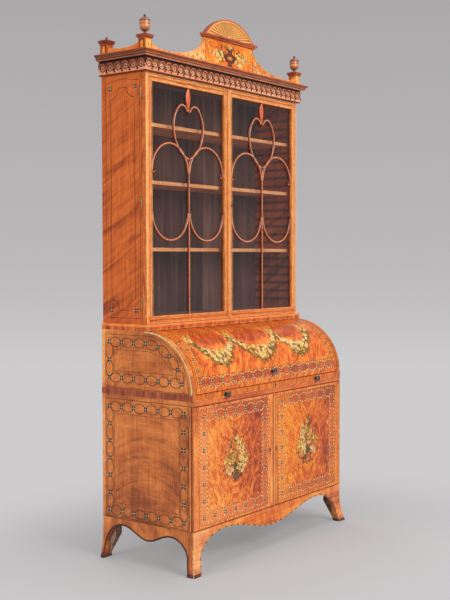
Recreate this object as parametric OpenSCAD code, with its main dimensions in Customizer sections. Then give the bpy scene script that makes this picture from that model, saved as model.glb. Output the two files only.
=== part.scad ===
// Bureau bookcase: glazed bookcase on a cylinder desk with cupboard doors below.
// Millimetres. X runs to the right, Y to the back, Z up.
// The origin is on the floor, in the middle of the whole piece.

/* [Desk case] */
// Width of the desk case
case_w = 1200; // [1190:5:1300]
// Depth of the desk case, from the door faces to the back
case_d = 520; // [515:5:580]
// Height of the writing surface, where the cylinder fall pivots
desk_h = 770; // [740:5:800]
// Radius of the quarter round ends of the case
drum_r = 260; // [250:1:265]
// Thickness of the case sides
side_t = 20; // [18:1:24]
// Thickness of the horizontal carcass boards
board_t = 18; // [14:1:22]
// Thickness of the back boards
back_t = 12; // [8:1:14]
// Number of upright boards in each back
back_boards = 5; // [3:1:8]
// Height of the carcass underside above the floor
plinth_h = 186; // [180:2:220]
// Height of the cupboard shelf above the carcass underside
cupboard_shelf_h = 262; // [180:2:340]
// Distance of that shelf behind the case front
shelf_setback = 25; // [10:1:40]
// Reach of the waist bands beyond the sides
band_reach = 3; // [2:0.5:4]

/* [Feet and aprons] */
// Outward splay of a foot at the floor
foot_splay = 21; // [12:1:28]
// Height over which the splay curves back to upright
foot_curve_h = 130; // [110:5:150]
// Thickness of the foot brackets and aprons
bracket_t = 20; // [16:1:24]
// Thickness of the bracket behind each back foot
back_bracket_t = 18; // [14:1:22]
// Half width between the tops of the two front arches
arch_x = 375; // [340:5:400]
// Height of the front arch tops
arch_z = 165; // [150:1:175]
// Height of the pendant in the middle of the front apron
pendant_z = 104; // [90:1:125]
// Height of the front side arch top
side_arch_front_z = 147; // [135:1:160]
// Height of the pendant in the side apron
side_pendant_z = 110; // [95:1:125]
// Height of the rear side arch top
side_arch_back_z = 157; // [145:1:170]
// Height at which the arches run into the straight of the foot
arch_spring_z = 50; // [40:1:60]
// Width of a front foot, seen from the front
foot_front_w = 52; // [44:1:60]
// Width of a front foot, seen from the side
foot_side_w = 37; // [32:1:46]
// Width of a back foot, seen from the side
foot_back_w = 20; // [16:1:26]
// Distance from a front arch top to the joint between apron and foot
front_split = 95; // [80:1:110]
// Distance of the front side arch top behind the case front
side_arch_front = 125; // [110:1:140]
// Distance of the rear side arch top before the back
side_arch_back = 120; // [105:1:135]
// Width of the glue block inside each foot
block_w = 40; // [30:1:48]
// Height above which that block is upright, while it tapers to the floor below
block_taper_z = 104; // [80:1:130]

/* [Cupboard doors] */
// Thickness of the cupboard doors
low_door_t = 19; // [16:1:24]
// Gap between a door and what it closes against
door_gap = 2; // [1.6:0.1:3]
// Gap between the two doors of a pair
meeting_gap = 1.5; // [1:0.1:3]
// Height of the rail above the cupboard doors
rail_h = 21; // [18:1:30]
// Depth of that rail
rail_d = 46; // [36:1:60]
// Width of the brass cock bead at the cupboard meeting line
low_bead_w = 5; // [4:0.5:8]

/* [Writing slide] */
// Height of the slide front
slide_h = 27; // [24:1:32]
// Depth of the slide from front to back
slide_d = 430; // [380:5:450]
// Thickness of the leather on the slide
leather_t = 1.5; // [1:0.5:3]
// Thickness of the slide front
slide_front_t = 20; // [16:1:24]
// Width of the wooden border at each end of the leather
leather_end = 90; // [60:5:120]
// Width of the wooden border before and behind the leather
leather_edge = 54; // [40:2:70]
// Diameter of the turned metal knobs
knob_d = 28; // [24:1:32]
// Reach of a knob from the face it is fixed to
knob_reach = 23; // [18:1:28]
// Distance of each slide knob from the middle
slide_knob_x = 368; // [300:2:420]
// Height of their centres above the lower edge of the slide
slide_knob_h = 9.7; // [9:0.1:14]
// Width of the guide that carries each end of the slide
runner_w = 28; // [24:1:36]

/* [Cylinder fall] */
// Thickness of the curved fall
fall_t = 12; // [9:1:15]
// Thickness of the brass arms that carry the fall
arm_t = 5; // [3:0.5:6]
// Radius of the pivot pins
pivot_r = 5; // [3.5:0.5:6]
// Angle of the knob from the top of the drum, in degrees
fall_knob_angle = 79.3; // [70:0.1:82]

/* [Stationery nest] */
// Distance of the nest front before the pivot line
nest_front = 95; // [85:1:110]
// Depth of the nest
nest_d = 250; // [220:2:260]
// Height of the nest above the writing surface
nest_h = 175; // [160:1:180]
// Thickness of the outer boards of the nest
nest_t = 8; // [6:0.5:10]
// Thickness of the partitions in the nest
part_t = 6; // [4:0.5:7]
// Number of pigeonholes, two above each drawer
pigeonholes = 8; // [4:2:10]
// Height of the drawer tier
tier_h = 48; // [42:1:58]
// Depth of the shaped valance over each pigeonhole
valance_h = 24; // [18:1:30]
// Diameter of a drawer knob
nest_knob_d = 12; // [9:0.5:16]
// Reach of a drawer knob
nest_knob_reach = 10; // [8:0.5:12]

/* [Bookcase] */
// Distance of the bookcase sides inside the sides of the desk case
book_inset = 8.5; // [6:0.5:20]
// Distance of the glazed doors behind the top of the drum
book_setback = 2; // [1:0.5:8]
// Height of the bookcase between the desk top and the frieze
book_h = 1106; // [1060:2:1200]
// Thickness of the bookcase sides
book_side_t = 20; // [16:1:24]
// Thickness of the desk top board
top_board_t = 14; // [12:1:18]
// Height of the moulding round the foot of the bookcase
waist_h = 27; // [24:1:32]
// Reach of that moulding before the bookcase doors
waist_reach = 18; // [12:1:24]
// Reach of that moulding beyond the sides of the desk case
waist_side_reach = 4; // [3:0.5:8]
// Height of the bookcase floor above the desk top
floor_h = 41; // [38:1:60]
// Thickness of the adjustable shelves
shelf_t = 16; // [12:1:18]
// Distance of the shelves behind the front of the bookcase sides
shelf_inset = 14; // [6:1:30]
// Distance from one shelf groove to the next
groove_pitch = 42.2; // [36:0.2:48]
// Depth of the shelf grooves
groove_depth = 5; // [3:0.5:7]
// Height of the lowest groove above the bookcase floor
groove_first = 38.8; // [30:0.2:60]
// Groove that holds the lowest shelf
shelf_slot_low = 6; // [4:1:8]
// Groove that holds the middle shelf
shelf_slot_mid = 13; // [11:1:15]
// Groove that holds the highest shelf
shelf_slot_high = 19; // [17:1:20]

/* [Glazed doors] */
// Thickness of the glazed doors
door_t = 22; // [20:1:26]
// Width of the hinge stiles
stile_w = 39.5; // [34:0.5:46]
// Width of the meeting stiles
meeting_w = 27.5; // [24:0.5:34]
// Height of the door rails
door_rail_h = 34; // [30:1:42]
// Thickness of the glass
glass_t = 3; // [2:0.5:4]
// Depth of the glass behind the door face
glass_depth = 9; // [8:0.5:11]
// Width of the meeting bead
bead_w = 15; // [12:1:18]
// Width of a glazing bar
bar_w = 13; // [10:0.5:15]
// Height a glazing bar stands before the glass
bar_d = 8; // [6:0.5:8]
// Gap between a round loop and the stile beside it
loop_gap = 0.875; // [0.5:0.125:12]
// Height of the loop bottoms above the lower edge of the glass
loop_low = 334; // [300:2:360]
// Height between the centres of the lower and upper loop arcs
loop_rise = 182; // [160:2:220]
// Height of the heart point above the upper loop centres
heart_low = 61; // [50:1:75]
// Half of the greatest width of a heart
heart_half_w = 106; // [98:1:112]
// Height of that widest place above the heart point
heart_rise = 143; // [130:1:148]
// Radius of the two lobes of a heart
heart_top_r = 35; // [32:1:38]
// Half width of the bud between the heart and the rail
bud_half_w = 14; // [10:1:18]
// Radius of the bosses on the meeting bars
boss_r = 9; // [7:0.5:12]

/* [Hinges] */
// Length of a hinge
hinge_h = 44; // [36:1:50]
// Radius of a hinge knuckle
knuckle_r = 3.5; // [3:0.1:3.6]
// Radius of a hinge pin
hinge_pin_r = 1.5; // [1.2:0.1:2]
// Width of a hinge leaf
leaf_w = 16; // [12:1:18]

/* [Frieze and cornice] */
// Height of the frieze
frieze_h = 55; // [50:1:65]
// Reach of the frieze beyond the doors and sides
frieze_reach = 14.5; // [12:0.5:20]
// Number of arches along the front
arches = 28; // [24:1:32]
// Number of arches along each side
side_arches = 6; // [5:1:7]
// Reach of the arcade before the frieze
arcade_t = 5; // [4:0.5:7]
// Height of the drops' upper ends above the lower edge of the frieze
arcade_leg_h = 30; // [26:1:34]
// Diameter of the turned drops
drop_d = 11; // [9:0.5:12]
// Height of the cornice
cornice_h = 35; // [30:1:45]
// Reach of the cornice beyond the frieze
cornice_reach = 34; // [28:1:40]

/* [Pediment] */
// Width of the painted tablet
tablet_w = 380; // [340:5:420]
// Height of the tablet
tablet_h = 123; // [110:1:140]
// Thickness of the pediment boards
pediment_t = 20; // [16:1:24]
// Height of the moulded cap on the tablet
cap_h = 17; // [14:1:22]
// Reach of that cap beyond the tablet
cap_reach = 15; // [10:1:20]
// Rise of the fan arch above the cap
fan_rise = 88; // [75:1:100]
// Width of the arch border
fan_border = 12; // [9:1:16]
// Width of the raised outer edge of that border
fan_rim = 5; // [3:0.5:7]
// Number of ribs in the fan
fan_ribs_n = 29; // [15:2:41]
// Radius of the boss that the ribs spread from
fan_hub_r = 15; // [12:1:22]
// Height of the scroll boards at their lowest
scroll_low = 15; // [10:1:25]
// Distance from the middle to the lowest point of a scroll board
scroll_low_x = 465; // [440:1:490]
// Height of a scroll board at its pedestal
scroll_end_h = 40; // [34:1:46]
// Thickness of the scroll boards
scroll_t = 18; // [12:1:19]
// Height of a gallery board at its ends
gallery_end_h = 44; // [36:1:48]
// Height of a gallery board in its middle
gallery_low = 21; // [15:1:30]
// Thickness of the gallery boards
gallery_t = 10; // [8:1:14]
// Width of a pedestal
pedestal_w = 41; // [36:1:46]
// Height of a pedestal body
pedestal_h = 50; // [44:1:58]
// Width of a pedestal cap
pedestal_cap_w = 54; // [50:1:60]
// Height of a pedestal cap
pedestal_cap_h = 17; // [14:1:20]
// Diameter of an urn
urn_d = 47; // [40:1:50]
// Height of an urn
urn_h = 88; // [78:1:100]

/* [Hidden] */

// Fits and small clearances
touch = 0.3;
running = 0.05;
seam = 0.1;
eps = 0.01;
curve_steps = 14;

// Main planes of the desk case
half_w = case_w / 2;
front_reach = max(foot_splay, knob_reach);
front_y = (front_reach - case_d) / 2;
back_y = front_y + case_d;
back_face_y = back_y - back_t;
inner_x = half_w - side_t;
slide_top = desk_h - 1;
slide_z = slide_top - slide_h;
rail_top = slide_z - touch;
low_door_top = rail_top - rail_h - door_gap;
low_door_z = plinth_h + door_gap;
case_front_y = front_y + low_door_t + door_gap;
axis_y = front_y + drum_r;
drum_top = desk_h + drum_r;

// Cylinder fall
fall_clear = 1.5;
fall_r = drum_r - fall_clear;
fall_in_r = fall_r - fall_t;
fall_half_w = inner_x - 1;
fall_back_angle = -2;
fall_lip_angle = 89.7;
arm_x = inner_x - 1.5 - arm_t;
hub_r = pivot_r + 8;
pivot_seat = 12;

// Writing slide and its guides
guide_x = inner_x - runner_w;
slide_half = guide_x - 0.5;
well_x = slide_half - leather_end;
well_y0 = front_y + leather_edge;
well_y1 = front_y + slide_d - leather_edge;
arm_room = arm_t + 3.5;
step_z = desk_h - hub_r - 3;

// Stationery nest
nest_half_w = inner_x - arm_room - 0.5;
nest_y = axis_y - nest_front;
nest_in_half = nest_half_w - nest_t;
bay_w = (2 * nest_in_half - (pigeonholes - 1) * part_t) / pigeonholes;
tier_z = desk_h + nest_t;
shelf_z = tier_z + tier_h;
hole_z = shelf_z + part_t;
nest_roof_z = desk_h + nest_h - nest_t;
drawer_w = 2 * bay_w + part_t;
drawer_clear = 0.5;
drawer_front_t = 10;
drawer_side_t = 6;
drawer_base_t = 4;

// Main planes of the bookcase
book_z = drum_top + top_board_t;
book_front_y = axis_y + book_setback;
book_half = half_w - book_inset;
book_in_x = book_half - book_side_t;
frieze_z = book_z + book_h;
cornice_z = frieze_z + frieze_h;
crown_z = cornice_z + cornice_h;
book_floor_z = book_z + floor_h;
waist_top = drum_top + waist_h;
door_z = waist_top + meeting_gap;
door_top = frieze_z - meeting_gap;
door_back_y = book_front_y + door_t;
book_case_y = door_back_y + door_gap;
groove_h = shelf_t + touch;
grooves = floor((frieze_z - book_floor_z - groove_first - groove_h) / groove_pitch);
shelf_slots = [shelf_slot_low, shelf_slot_mid, shelf_slot_high];

// Glazed doors
glass_y = book_front_y + glass_depth;
glass_lap = 6;
rebate = 8;
pane_x0 = meeting_gap / 2 + meeting_w;
pane_x1 = book_half - stile_w;
pane_z0 = door_z + door_rail_h;
pane_z1 = door_top - door_rail_h;
stem_x = (pane_x0 + pane_x1) / 2;
loop_r = (pane_x1 - pane_x0) / 4 - (bar_w + loop_gap) / 2;
loop_z0 = pane_z0 + loop_low + loop_r;
loop_z1 = loop_z0 + loop_rise;
loop_x = loop_r + bar_w / 2;
heart_z = loop_z1 + heart_low;

// A heart has three arcs on each side: the long side, the shoulder and the lobe
heart_wide_z = heart_z + heart_rise;
heart_low_r = (heart_half_w * heart_half_w + heart_rise * heart_rise) / (2 * heart_half_w);
heart_low_angle = asin(heart_rise / heart_low_r);
heart_mid_r = 125;
heart_turn = 45;
curl_r = 10;
lobe_end = 165;
lobe_x = heart_half_w - heart_mid_r + (heart_mid_r - heart_top_r) * cos(heart_turn);
lobe_z = heart_wide_z + (heart_mid_r - heart_top_r) * sin(heart_turn);
lobe_in_x = lobe_x + heart_top_r * cos(lobe_end);

// Hinges: the pin stands outside the joint line, level with the middle of the gap
pin_out = 4;
pin_depth = door_gap / 2;
leaf_t = door_gap / 2 - 0.1;
knuckle_gap = 0.2;
upper_hinge_z = [for (share = [0.084, 0.492, 0.919]) door_z + share * (door_top - door_z)];
lower_hinge_z = [for (share = [0.098, 0.891]) low_door_z + share * (low_door_top - low_door_z)];
knuckle_h = (hinge_h - 2 * knuckle_gap) / 3;
upper_pin_y = door_back_y + pin_depth;
lower_pin_y = front_y + low_door_t + pin_depth;

// Frieze, cornice and pediment
frieze_half = book_half + frieze_reach;
frieze_y = book_front_y - frieze_reach;
frieze_board_t = 20;
arch_pitch = 2 * frieze_half / arches;
side_pitch = (back_y - frieze_y) / side_arches;
arcade_leg_z = frieze_z + arcade_leg_h;
arch_leg_w = 7;
cornice_lap = 3.5;
ring_in_x = book_in_x + cornice_lap;
ring_in_y = frieze_y + frieze_board_t + cornice_lap;
dust_board_t = 12;
tablet_half = tablet_w / 2;
cap_z = crown_z + tablet_h;
arch_base_z = cap_z + cap_h;
fan_r = (tablet_half * tablet_half + fan_rise * fan_rise) / (2 * fan_rise);
pedestal_x = frieze_half - pedestal_w / 2;
pedestal_front_y = frieze_y + pedestal_w / 2;
pedestal_back_y = back_y - pedestal_cap_w / 2;
scroll_end_x = frieze_half - pedestal_w;

// Colours
satinwood = [0.80, 0.42, 0.16];
satin_light = [0.88, 0.56, 0.24];
mahogany = [0.45, 0.17, 0.09];
dark_band = [0.30, 0.12, 0.10];
carcass_wood = [0.36, 0.22, 0.14];
brass = [0.80, 0.62, 0.28];
bronze = [0.16, 0.15, 0.14];
glass = [0.80, 0.88, 0.90, 0.35];
hide = [0.24, 0.30, 0.18];

// General helpers
module board(x0, x1, y0, y1, z0, z1) {
  translate([x0, y0, z0])
    cube([x1 - x0, y1 - y0, z1 - z0]);
}

module both_sides() {
  children();
  mirror([1, 0, 0])
    children();
}

// A drawing in Y and Z, drawn out along X
module along_x(x0, x1) {
  translate([x0, 0, 0])
    rotate([90, 0, 90])
      linear_extrude(x1 - x0)
        children();
}

// A drawing in X and Z, drawn out along Y
module along_y(y0, y1) {
  translate([0, y1, 0])
    rotate([90, 0, 0])
      linear_extrude(y1 - y0)
        children();
}

function steps(n) = [for (i = [0:n]) i / n];

// Feet and aprons
splay_r = (foot_curve_h * foot_curve_h + foot_splay * foot_splay) / (2 * foot_splay);
function splay(z) =
  z >= foot_curve_h ? 0 : splay_r - sqrt(splay_r * splay_r - pow(foot_curve_h - z, 2));
foot_levels = [for (t = steps(curve_steps)) t * foot_curve_h];
inner_levels = [for (t = steps(5)) t * arch_spring_z];

// Inside edge of a front foot at the height where the arch springs
foot_in_x = half_w + splay(arch_spring_z) - foot_front_w;
foot_in_y = foot_side_w - splay(arch_spring_z);
foot_out_y = case_d - foot_back_w;
back_foot_narrower = 8;
back_in_x = foot_in_x + back_foot_narrower;

front_split_x = arch_x + front_split;
side_split_front = side_arch_front;
side_split_back = case_d - side_arch_back;
side_pendant_y = (side_split_front + side_split_back) / 2 - 7.5;

// Quarter of an ellipse between an arch top and the inside of a foot, as [across, height]
function quarter(top_at, top_z, foot_at, n) =
  [for (t = steps(n)) [
    top_at + (foot_at - top_at) * sin(90 * t),
    arch_spring_z + (top_z - arch_spring_z) * cos(90 * t)
  ]];

// Lower edge of the front apron between the two arch tops
function front_edge(x) =
  (arch_z + pendant_z) / 2 - (arch_z - pendant_z) / 2 * cos(180 * x / arch_x);

// Lower edge of the side apron, by distance behind the front of the case
function side_edge(y) =
  y < side_pendant_y
    ? (side_arch_front_z + side_pendant_z) / 2
      + (side_arch_front_z - side_pendant_z) / 2
        * cos(180 * (y - side_split_front) / (side_pendant_y - side_split_front))
    : (side_arch_back_z + side_pendant_z) / 2
      - (side_arch_back_z - side_pendant_z) / 2
        * cos(180 * (y - side_pendant_y) / (side_split_back - side_pendant_y));

function arch_height(x, top_at, top_z, foot_at) =
  arch_spring_z + (top_z - arch_spring_z) * sqrt(1 - pow((x - top_at) / (foot_at - top_at), 2));

// Front elevation of a front foot bracket
module front_bracket_drawing() {
  outer = [for (z = foot_levels) [half_w + splay(z), z]];
  polygon(concat(
    outer,
    [[half_w, plinth_h], [front_split_x, plinth_h]],
    [[front_split_x, arch_height(front_split_x, arch_x, arch_z, foot_in_x)]],
    [for (p = quarter(arch_x, arch_z, foot_in_x, curve_steps)) if (p.x > front_split_x + 1) p],
    [for (i = [len(inner_levels) - 2:-1:0])
      [foot_in_x + splay(inner_levels[i]) - splay(arch_spring_z), inner_levels[i]]]
  ));
}

// Side elevation of a front foot bracket, as distance behind the case front
module side_bracket_drawing() {
  polygon(concat(
    [for (z = foot_levels) [front_y - splay(z), z]],
    [[front_y, plinth_h], [front_y + side_split_front, plinth_h]],
    [for (p = quarter(side_split_front, side_arch_front_z, foot_in_y, curve_steps))
      [front_y + p.x, p.y]],
    [for (i = [len(inner_levels) - 2:-1:0])
      [front_y + foot_in_y - splay(inner_levels[i]) + splay(arch_spring_z), inner_levels[i]]]
  ));
}

// Outer faces of the splayed corner, used to trim both brackets of a front foot
module corner_front_drawing(t) {
  polygon(concat(
    [for (z = foot_levels) [half_w + splay(z), z]],
    [[half_w, plinth_h], [half_w - t, plinth_h], [half_w - t, 0]]
  ));
}

module corner_side_drawing(t) {
  polygon(concat(
    [for (z = foot_levels) [front_y - splay(z), z]],
    [[front_y, plinth_h], [front_y + t, plinth_h], [front_y + t, 0]]
  ));
}

module front_foot() {
  reach = foot_splay + 1;
  intersection() {
    along_y(front_y - reach, front_y + bracket_t)
      front_bracket_drawing();
    along_x(front_split_x - 1, half_w + reach)
      corner_side_drawing(bracket_t);
  }
  intersection() {
    along_x(half_w - bracket_t, half_w + reach)
      side_bracket_drawing();
    along_y(front_y - reach, front_y + side_split_front + 1)
      corner_front_drawing(bracket_t);
  }
}

module front_feet() {
  color(satinwood)
    both_sides()
      front_foot();
}

module back_foot() {
  reach = foot_splay + 1;
  split_y = front_y + side_split_back;
  foot_y = front_y + foot_out_y;
  intersection() {
    along_x(half_w - bracket_t, half_w + reach)
      polygon(concat(
        [[back_y, 0], [back_y, plinth_h], [split_y, plinth_h]],
        [for (p = quarter(side_split_back, side_arch_back_z, foot_out_y, curve_steps))
          [front_y + p.x, p.y]],
        [[foot_y, 0]]
      ));
    along_y(split_y - 1, back_y + 1)
      corner_front_drawing(bracket_t);
  }
  along_y(back_y - back_bracket_t, back_y)
    polygon(concat(
      [[half_w - bracket_t, 0], [half_w - bracket_t, plinth_h], [front_split_x, plinth_h]],
      [[front_split_x, arch_height(front_split_x, arch_x, arch_z, back_in_x)]],
      [for (p = quarter(arch_x, arch_z, back_in_x, curve_steps)) if (p.x > front_split_x + 1) p],
      [[back_in_x, 0]]
    ));
}

module back_feet() {
  color(satinwood)
    both_sides()
      back_foot();
}

// Section of a glue block, from the corner that it fills, as [inward, height]
module block_drawing() {
  floor_gap = 8;
  floor_w = 3;
  polygon([[0, floor_gap], [floor_w, floor_gap], [block_w, block_taper_z],
    [block_w, plinth_h - seam], [0, plinth_h - seam]]);
}

// Rough blocks glued into the corners behind the four feet
module foot_blocks() {
  far = block_w + 1;
  x1 = half_w - bracket_t - seam;
  front_corner = front_y + bracket_t + seam;
  back_corner = back_y - back_bracket_t - seam;
  color(carcass_wood)
    both_sides() {
      intersection() {
        along_y(front_corner, front_corner + far)
          translate([x1, 0])
            mirror([1, 0])
              block_drawing();
        along_x(x1 - far, x1)
          translate([front_corner, 0])
            block_drawing();
      }
      intersection() {
        along_y(back_corner - far, back_corner)
          translate([x1, 0])
            mirror([1, 0])
              block_drawing();
        along_x(x1 - far, x1)
          translate([back_corner, 0])
            mirror([1, 0])
              block_drawing();
      }
    }
}

module apron_front() {
  n = 28;
  color(satinwood)
    along_y(front_y, front_y + bracket_t)
      polygon(concat(
        [for (t = steps(n)) [-arch_x + 2 * arch_x * t, front_edge(-arch_x + 2 * arch_x * t)]],
        [for (p = quarter(arch_x, arch_z, foot_in_x, curve_steps))
          if (p.x > arch_x + 1 && p.x < front_split_x - 1) p],
        [[front_split_x, arch_height(front_split_x, arch_x, arch_z, foot_in_x)]],
        [[front_split_x, plinth_h], [-front_split_x, plinth_h]],
        [[-front_split_x, arch_height(front_split_x, arch_x, arch_z, foot_in_x)]],
        [for (i = [curve_steps:-1:0])
          let (p = quarter(arch_x, arch_z, foot_in_x, curve_steps)[i])
            if (p.x > arch_x + 1 && p.x < front_split_x - 1) [-p.x, p.y]]
      ));
}

module apron_sides() {
  n = 20;
  span = side_split_back - side_split_front;
  color(satinwood)
    both_sides()
      along_x(half_w - bracket_t, half_w)
        polygon(concat(
          [for (t = steps(n)) [
            front_y + side_split_front + span * t,
            side_edge(side_split_front + span * t)
          ]],
          [
            [front_y + side_split_back, plinth_h],
            [front_y + side_split_front, plinth_h]
          ]
        ));
}

// Desk case
module desk_side_drawing() {
  translate([case_front_y, plinth_h])
    square([back_y - case_front_y, low_door_top + door_gap - plinth_h]);
  translate([front_y, low_door_top + door_gap - eps])
    square([case_d, desk_h - low_door_top - door_gap + eps]);
  translate([axis_y - eps, desk_h - eps])
    square([back_y - axis_y + eps, drum_r + eps]);
  intersection() {
    translate([axis_y, desk_h])
      circle(r = drum_r, $fn = 180);
    translate([front_y, desk_h - eps])
      square([drum_r, drum_r + eps]);
  }
}

module desk_sides() {
  color(satinwood)
    both_sides()
      difference() {
        along_x(inner_x, half_w)
          desk_side_drawing();
        translate([inner_x - 1, axis_y, desk_h])
          rotate([0, 90, 0])
            cylinder(r = pivot_r + 0.02, h = pivot_seat + 1, $fn = 48);
      }
}

module desk_bottom() {
  color(carcass_wood)
    board(-inner_x, inner_x, case_front_y, back_face_y, plinth_h, plinth_h + board_t);
}

module back_planks(half_span, z0, z1) {
  plank_w = 2 * half_span / back_boards;
  for (i = [0:back_boards - 1])
    board(-half_span + i * plank_w + seam / 2, -half_span + (i + 1) * plank_w - seam / 2,
      back_face_y, back_y, z0, z1);
}

module desk_back() {
  color(carcass_wood)
    back_planks(inner_x, plinth_h, drum_top);
}

module cupboard_shelf() {
  z = plinth_h + cupboard_shelf_h;
  color(carcass_wood)
    board(-inner_x, inner_x, case_front_y + shelf_setback, back_face_y, z, z + shelf_t);
}

module door_rail() {
  color(satin_light)
    board(-inner_x, inner_x, front_y, front_y + rail_d, rail_top - rail_h, rail_top);
}

module dust_board() {
  t = 10;
  color(carcass_wood)
    board(-inner_x, inner_x, front_y + rail_d, back_face_y, rail_top - t, rail_top);
}

module slide_runners() {
  y0 = front_y + slide_front_t + 2;
  color(carcass_wood)
    both_sides() {
      board(guide_x, inner_x, y0, back_face_y, rail_top, step_z);
      board(guide_x, inner_x - arm_room, y0, back_face_y, step_z, desk_h);
    }
}

module waist_bands() {
  flute_r = 3;
  flute_depth = 1;
  color(dark_band)
    both_sides()
      difference() {
        board(half_w, half_w + band_reach, front_y, back_y, slide_z, desk_h);
        translate([half_w + band_reach + flute_r - flute_depth, front_y - 1, (slide_z + desk_h) / 2])
          rotate([-90, 0, 0])
            cylinder(r = flute_r, h = case_d + 2, $fn = 32);
      }
}

module desk_top() {
  color(satinwood)
    board(-half_w, half_w, book_front_y, back_y, drum_top, book_z);
}

// Cylinder fall and its pivots
module drum_sector(r, a0, a1) {
  reach = 2 * r;
  intersection() {
    circle(r = r, $fn = 180);
    polygon([
      [0, 0],
      [-reach * sin(a0), reach * cos(a0)],
      [-reach * sin((a0 + a1) / 2), reach * cos((a0 + a1) / 2)],
      [-reach * sin(a1), reach * cos(a1)]
    ]);
  }
}

module fall_section() {
  difference() {
    drum_sector(fall_r, fall_back_angle, fall_lip_angle);
    circle(r = fall_in_r, $fn = 180);
  }
}

module fall() {
  color(satinwood)
    along_x(-fall_half_w, fall_half_w)
      translate([axis_y, desk_h])
        fall_section();
}

module fall_arm_drawing() {
  rim = 14;
  spoke = 16;
  difference() {
    union() {
      circle(r = hub_r, $fn = 64);
      difference() {
        drum_sector(fall_in_r, 0, 84);
        circle(r = fall_in_r - rim, $fn = 180);
      }
      for (a = [14, 70])
        rotate(a)
          translate([-spoke / 2, 0])
            square([spoke, fall_in_r - rim / 2]);
    }
    circle(r = pivot_r + running, $fn = 48);
  }
}

module fall_arms() {
  color(brass)
    both_sides()
      along_x(arm_x, arm_x + arm_t)
        translate([axis_y, desk_h])
          fall_arm_drawing();
}

module fall_pivots() {
  end_x = arm_x - 0.8;
  color(brass)
    both_sides()
      translate([end_x, axis_y, desk_h])
        rotate([0, 90, 0])
          cylinder(r = pivot_r, h = inner_x + pivot_seat - end_x, $fn = 48);
}

// A turned knob that stands on its face and points along Z
module turned_knob(d, reach) {
  rose_t = 2;
  neck_r = d * 0.2;
  head_r = d / 2;
  head_h = reach * 0.5;
  rotate_extrude($fn = 64)
    polygon([
      [0, 0], [head_r * 0.82, 0], [head_r * 0.82, rose_t * 0.5], [head_r * 0.66, rose_t],
      [neck_r, rose_t + 1.2], [neck_r, reach - head_h - 1.5], [head_r * 0.74, reach - head_h],
      [head_r, reach - head_h * 0.66], [head_r, reach - head_h * 0.42],
      [head_r * 0.8, reach - head_h * 0.12], [head_r * 0.45, reach], [0, reach]
    ]);
}

module fall_knob() {
  color(bronze)
    translate([0, axis_y, desk_h])
      rotate([fall_knob_angle, 0, 0])
        translate([0, 0, fall_r + 0.02])
          turned_knob(knob_d, knob_reach);
}

// Writing slide
module writing_slide() {
  color(satin_light)
    difference() {
      union() {
        board(-inner_x + 1, inner_x - 1, front_y, front_y + slide_front_t, slide_z, slide_top);
        board(-slide_half, slide_half, front_y + slide_front_t, front_y + slide_d,
          slide_z, slide_top);
      }
      board(-well_x, well_x, well_y0, well_y1, slide_top - leather_t, slide_top + 1);
    }
}

module slide_leather() {
  cut = 0.2;
  color(hide)
    board(-well_x + cut, well_x - cut, well_y0 + cut, well_y1 - cut,
      slide_top - leather_t, slide_top);
}

module slide_knobs() {
  color(bronze)
    both_sides()
      translate([slide_knob_x, front_y, slide_z + slide_knob_h])
        rotate([90, 0, 0])
          turned_knob(knob_d, knob_reach);
}

// Stationery nest
module nest_case() {
  y0 = nest_y;
  y1 = nest_y + nest_d;
  color(carcass_wood) {
    board(-nest_half_w, nest_half_w, y0, y1, desk_h, tier_z);
    board(-nest_half_w, nest_half_w, y0, y1, nest_roof_z, nest_roof_z + nest_t);
    both_sides()
      board(nest_in_half, nest_half_w, y0, y1, tier_z + seam, nest_roof_z - seam);
    board(-nest_in_half + seam, nest_in_half - seam, y1 - part_t, y1,
      tier_z + seam, nest_roof_z - seam);
  }
}

module nest_partitions() {
  y1 = nest_y + nest_d - part_t;
  color(satin_light) {
    board(-nest_in_half + seam, nest_in_half - seam, nest_y, y1 - seam, shelf_z, hole_z);
    for (i = [1:pigeonholes - 1]) {
      x = -nest_in_half + i * (bay_w + part_t) - part_t;
      board(x, x + part_t, nest_y + 2, y1 - seam, hole_z + seam, nest_roof_z - seam);
      if (i % 2 == 0)
        board(x, x + part_t, nest_y, y1 - seam, tier_z + seam, shelf_z - seam);
    }
  }
}

module nest_valances() {
  valance_t = 5;
  arc_r = bay_w * 0.62;
  color(satinwood)
    for (i = [0:pigeonholes - 1])
      translate([-nest_in_half + i * (bay_w + part_t) + bay_w / 2, 0, nest_roof_z])
        along_y(nest_y + 3, nest_y + 3 + valance_t)
          difference() {
            translate([-bay_w / 2 + seam, -valance_h])
              square([bay_w - 2 * seam, valance_h - seam]);
            translate([0, -arc_r - valance_h * 0.35])
              circle(r = arc_r, $fn = 96);
          }
}

module drawer(i) {
  w = drawer_w - 2 * drawer_clear;
  h = tier_h - 2 * drawer_clear;
  d = nest_d - part_t - 2;
  x0 = -nest_in_half + (i - 1) * (drawer_w + part_t) + drawer_clear;
  z0 = tier_z + touch;
  side_y = nest_y + drawer_front_t + seam;
  in_x0 = x0 + drawer_side_t + seam;
  in_x1 = x0 + w - drawer_side_t - seam;
  color(satin_light) {
    board(x0, x0 + w, nest_y, nest_y + drawer_front_t, z0, z0 + h);
    board(x0, x0 + drawer_side_t, side_y, nest_y + d, z0, z0 + h);
    board(x0 + w - drawer_side_t, x0 + w, side_y, nest_y + d, z0, z0 + h);
    board(in_x0, in_x1, nest_y + d - drawer_side_t, nest_y + d, z0 + drawer_base_t + seam, z0 + h);
    board(in_x0, in_x1, side_y, nest_y + d, z0, z0 + drawer_base_t);
  }
  color(brass)
    translate([x0 + w / 2, nest_y - seam, z0 + h / 2])
      rotate([90, 0, 0])
        turned_knob(nest_knob_d, nest_knob_reach);
}

module both_ways() {
  children();
  mirror([1, 0])
    children();
}

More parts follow.
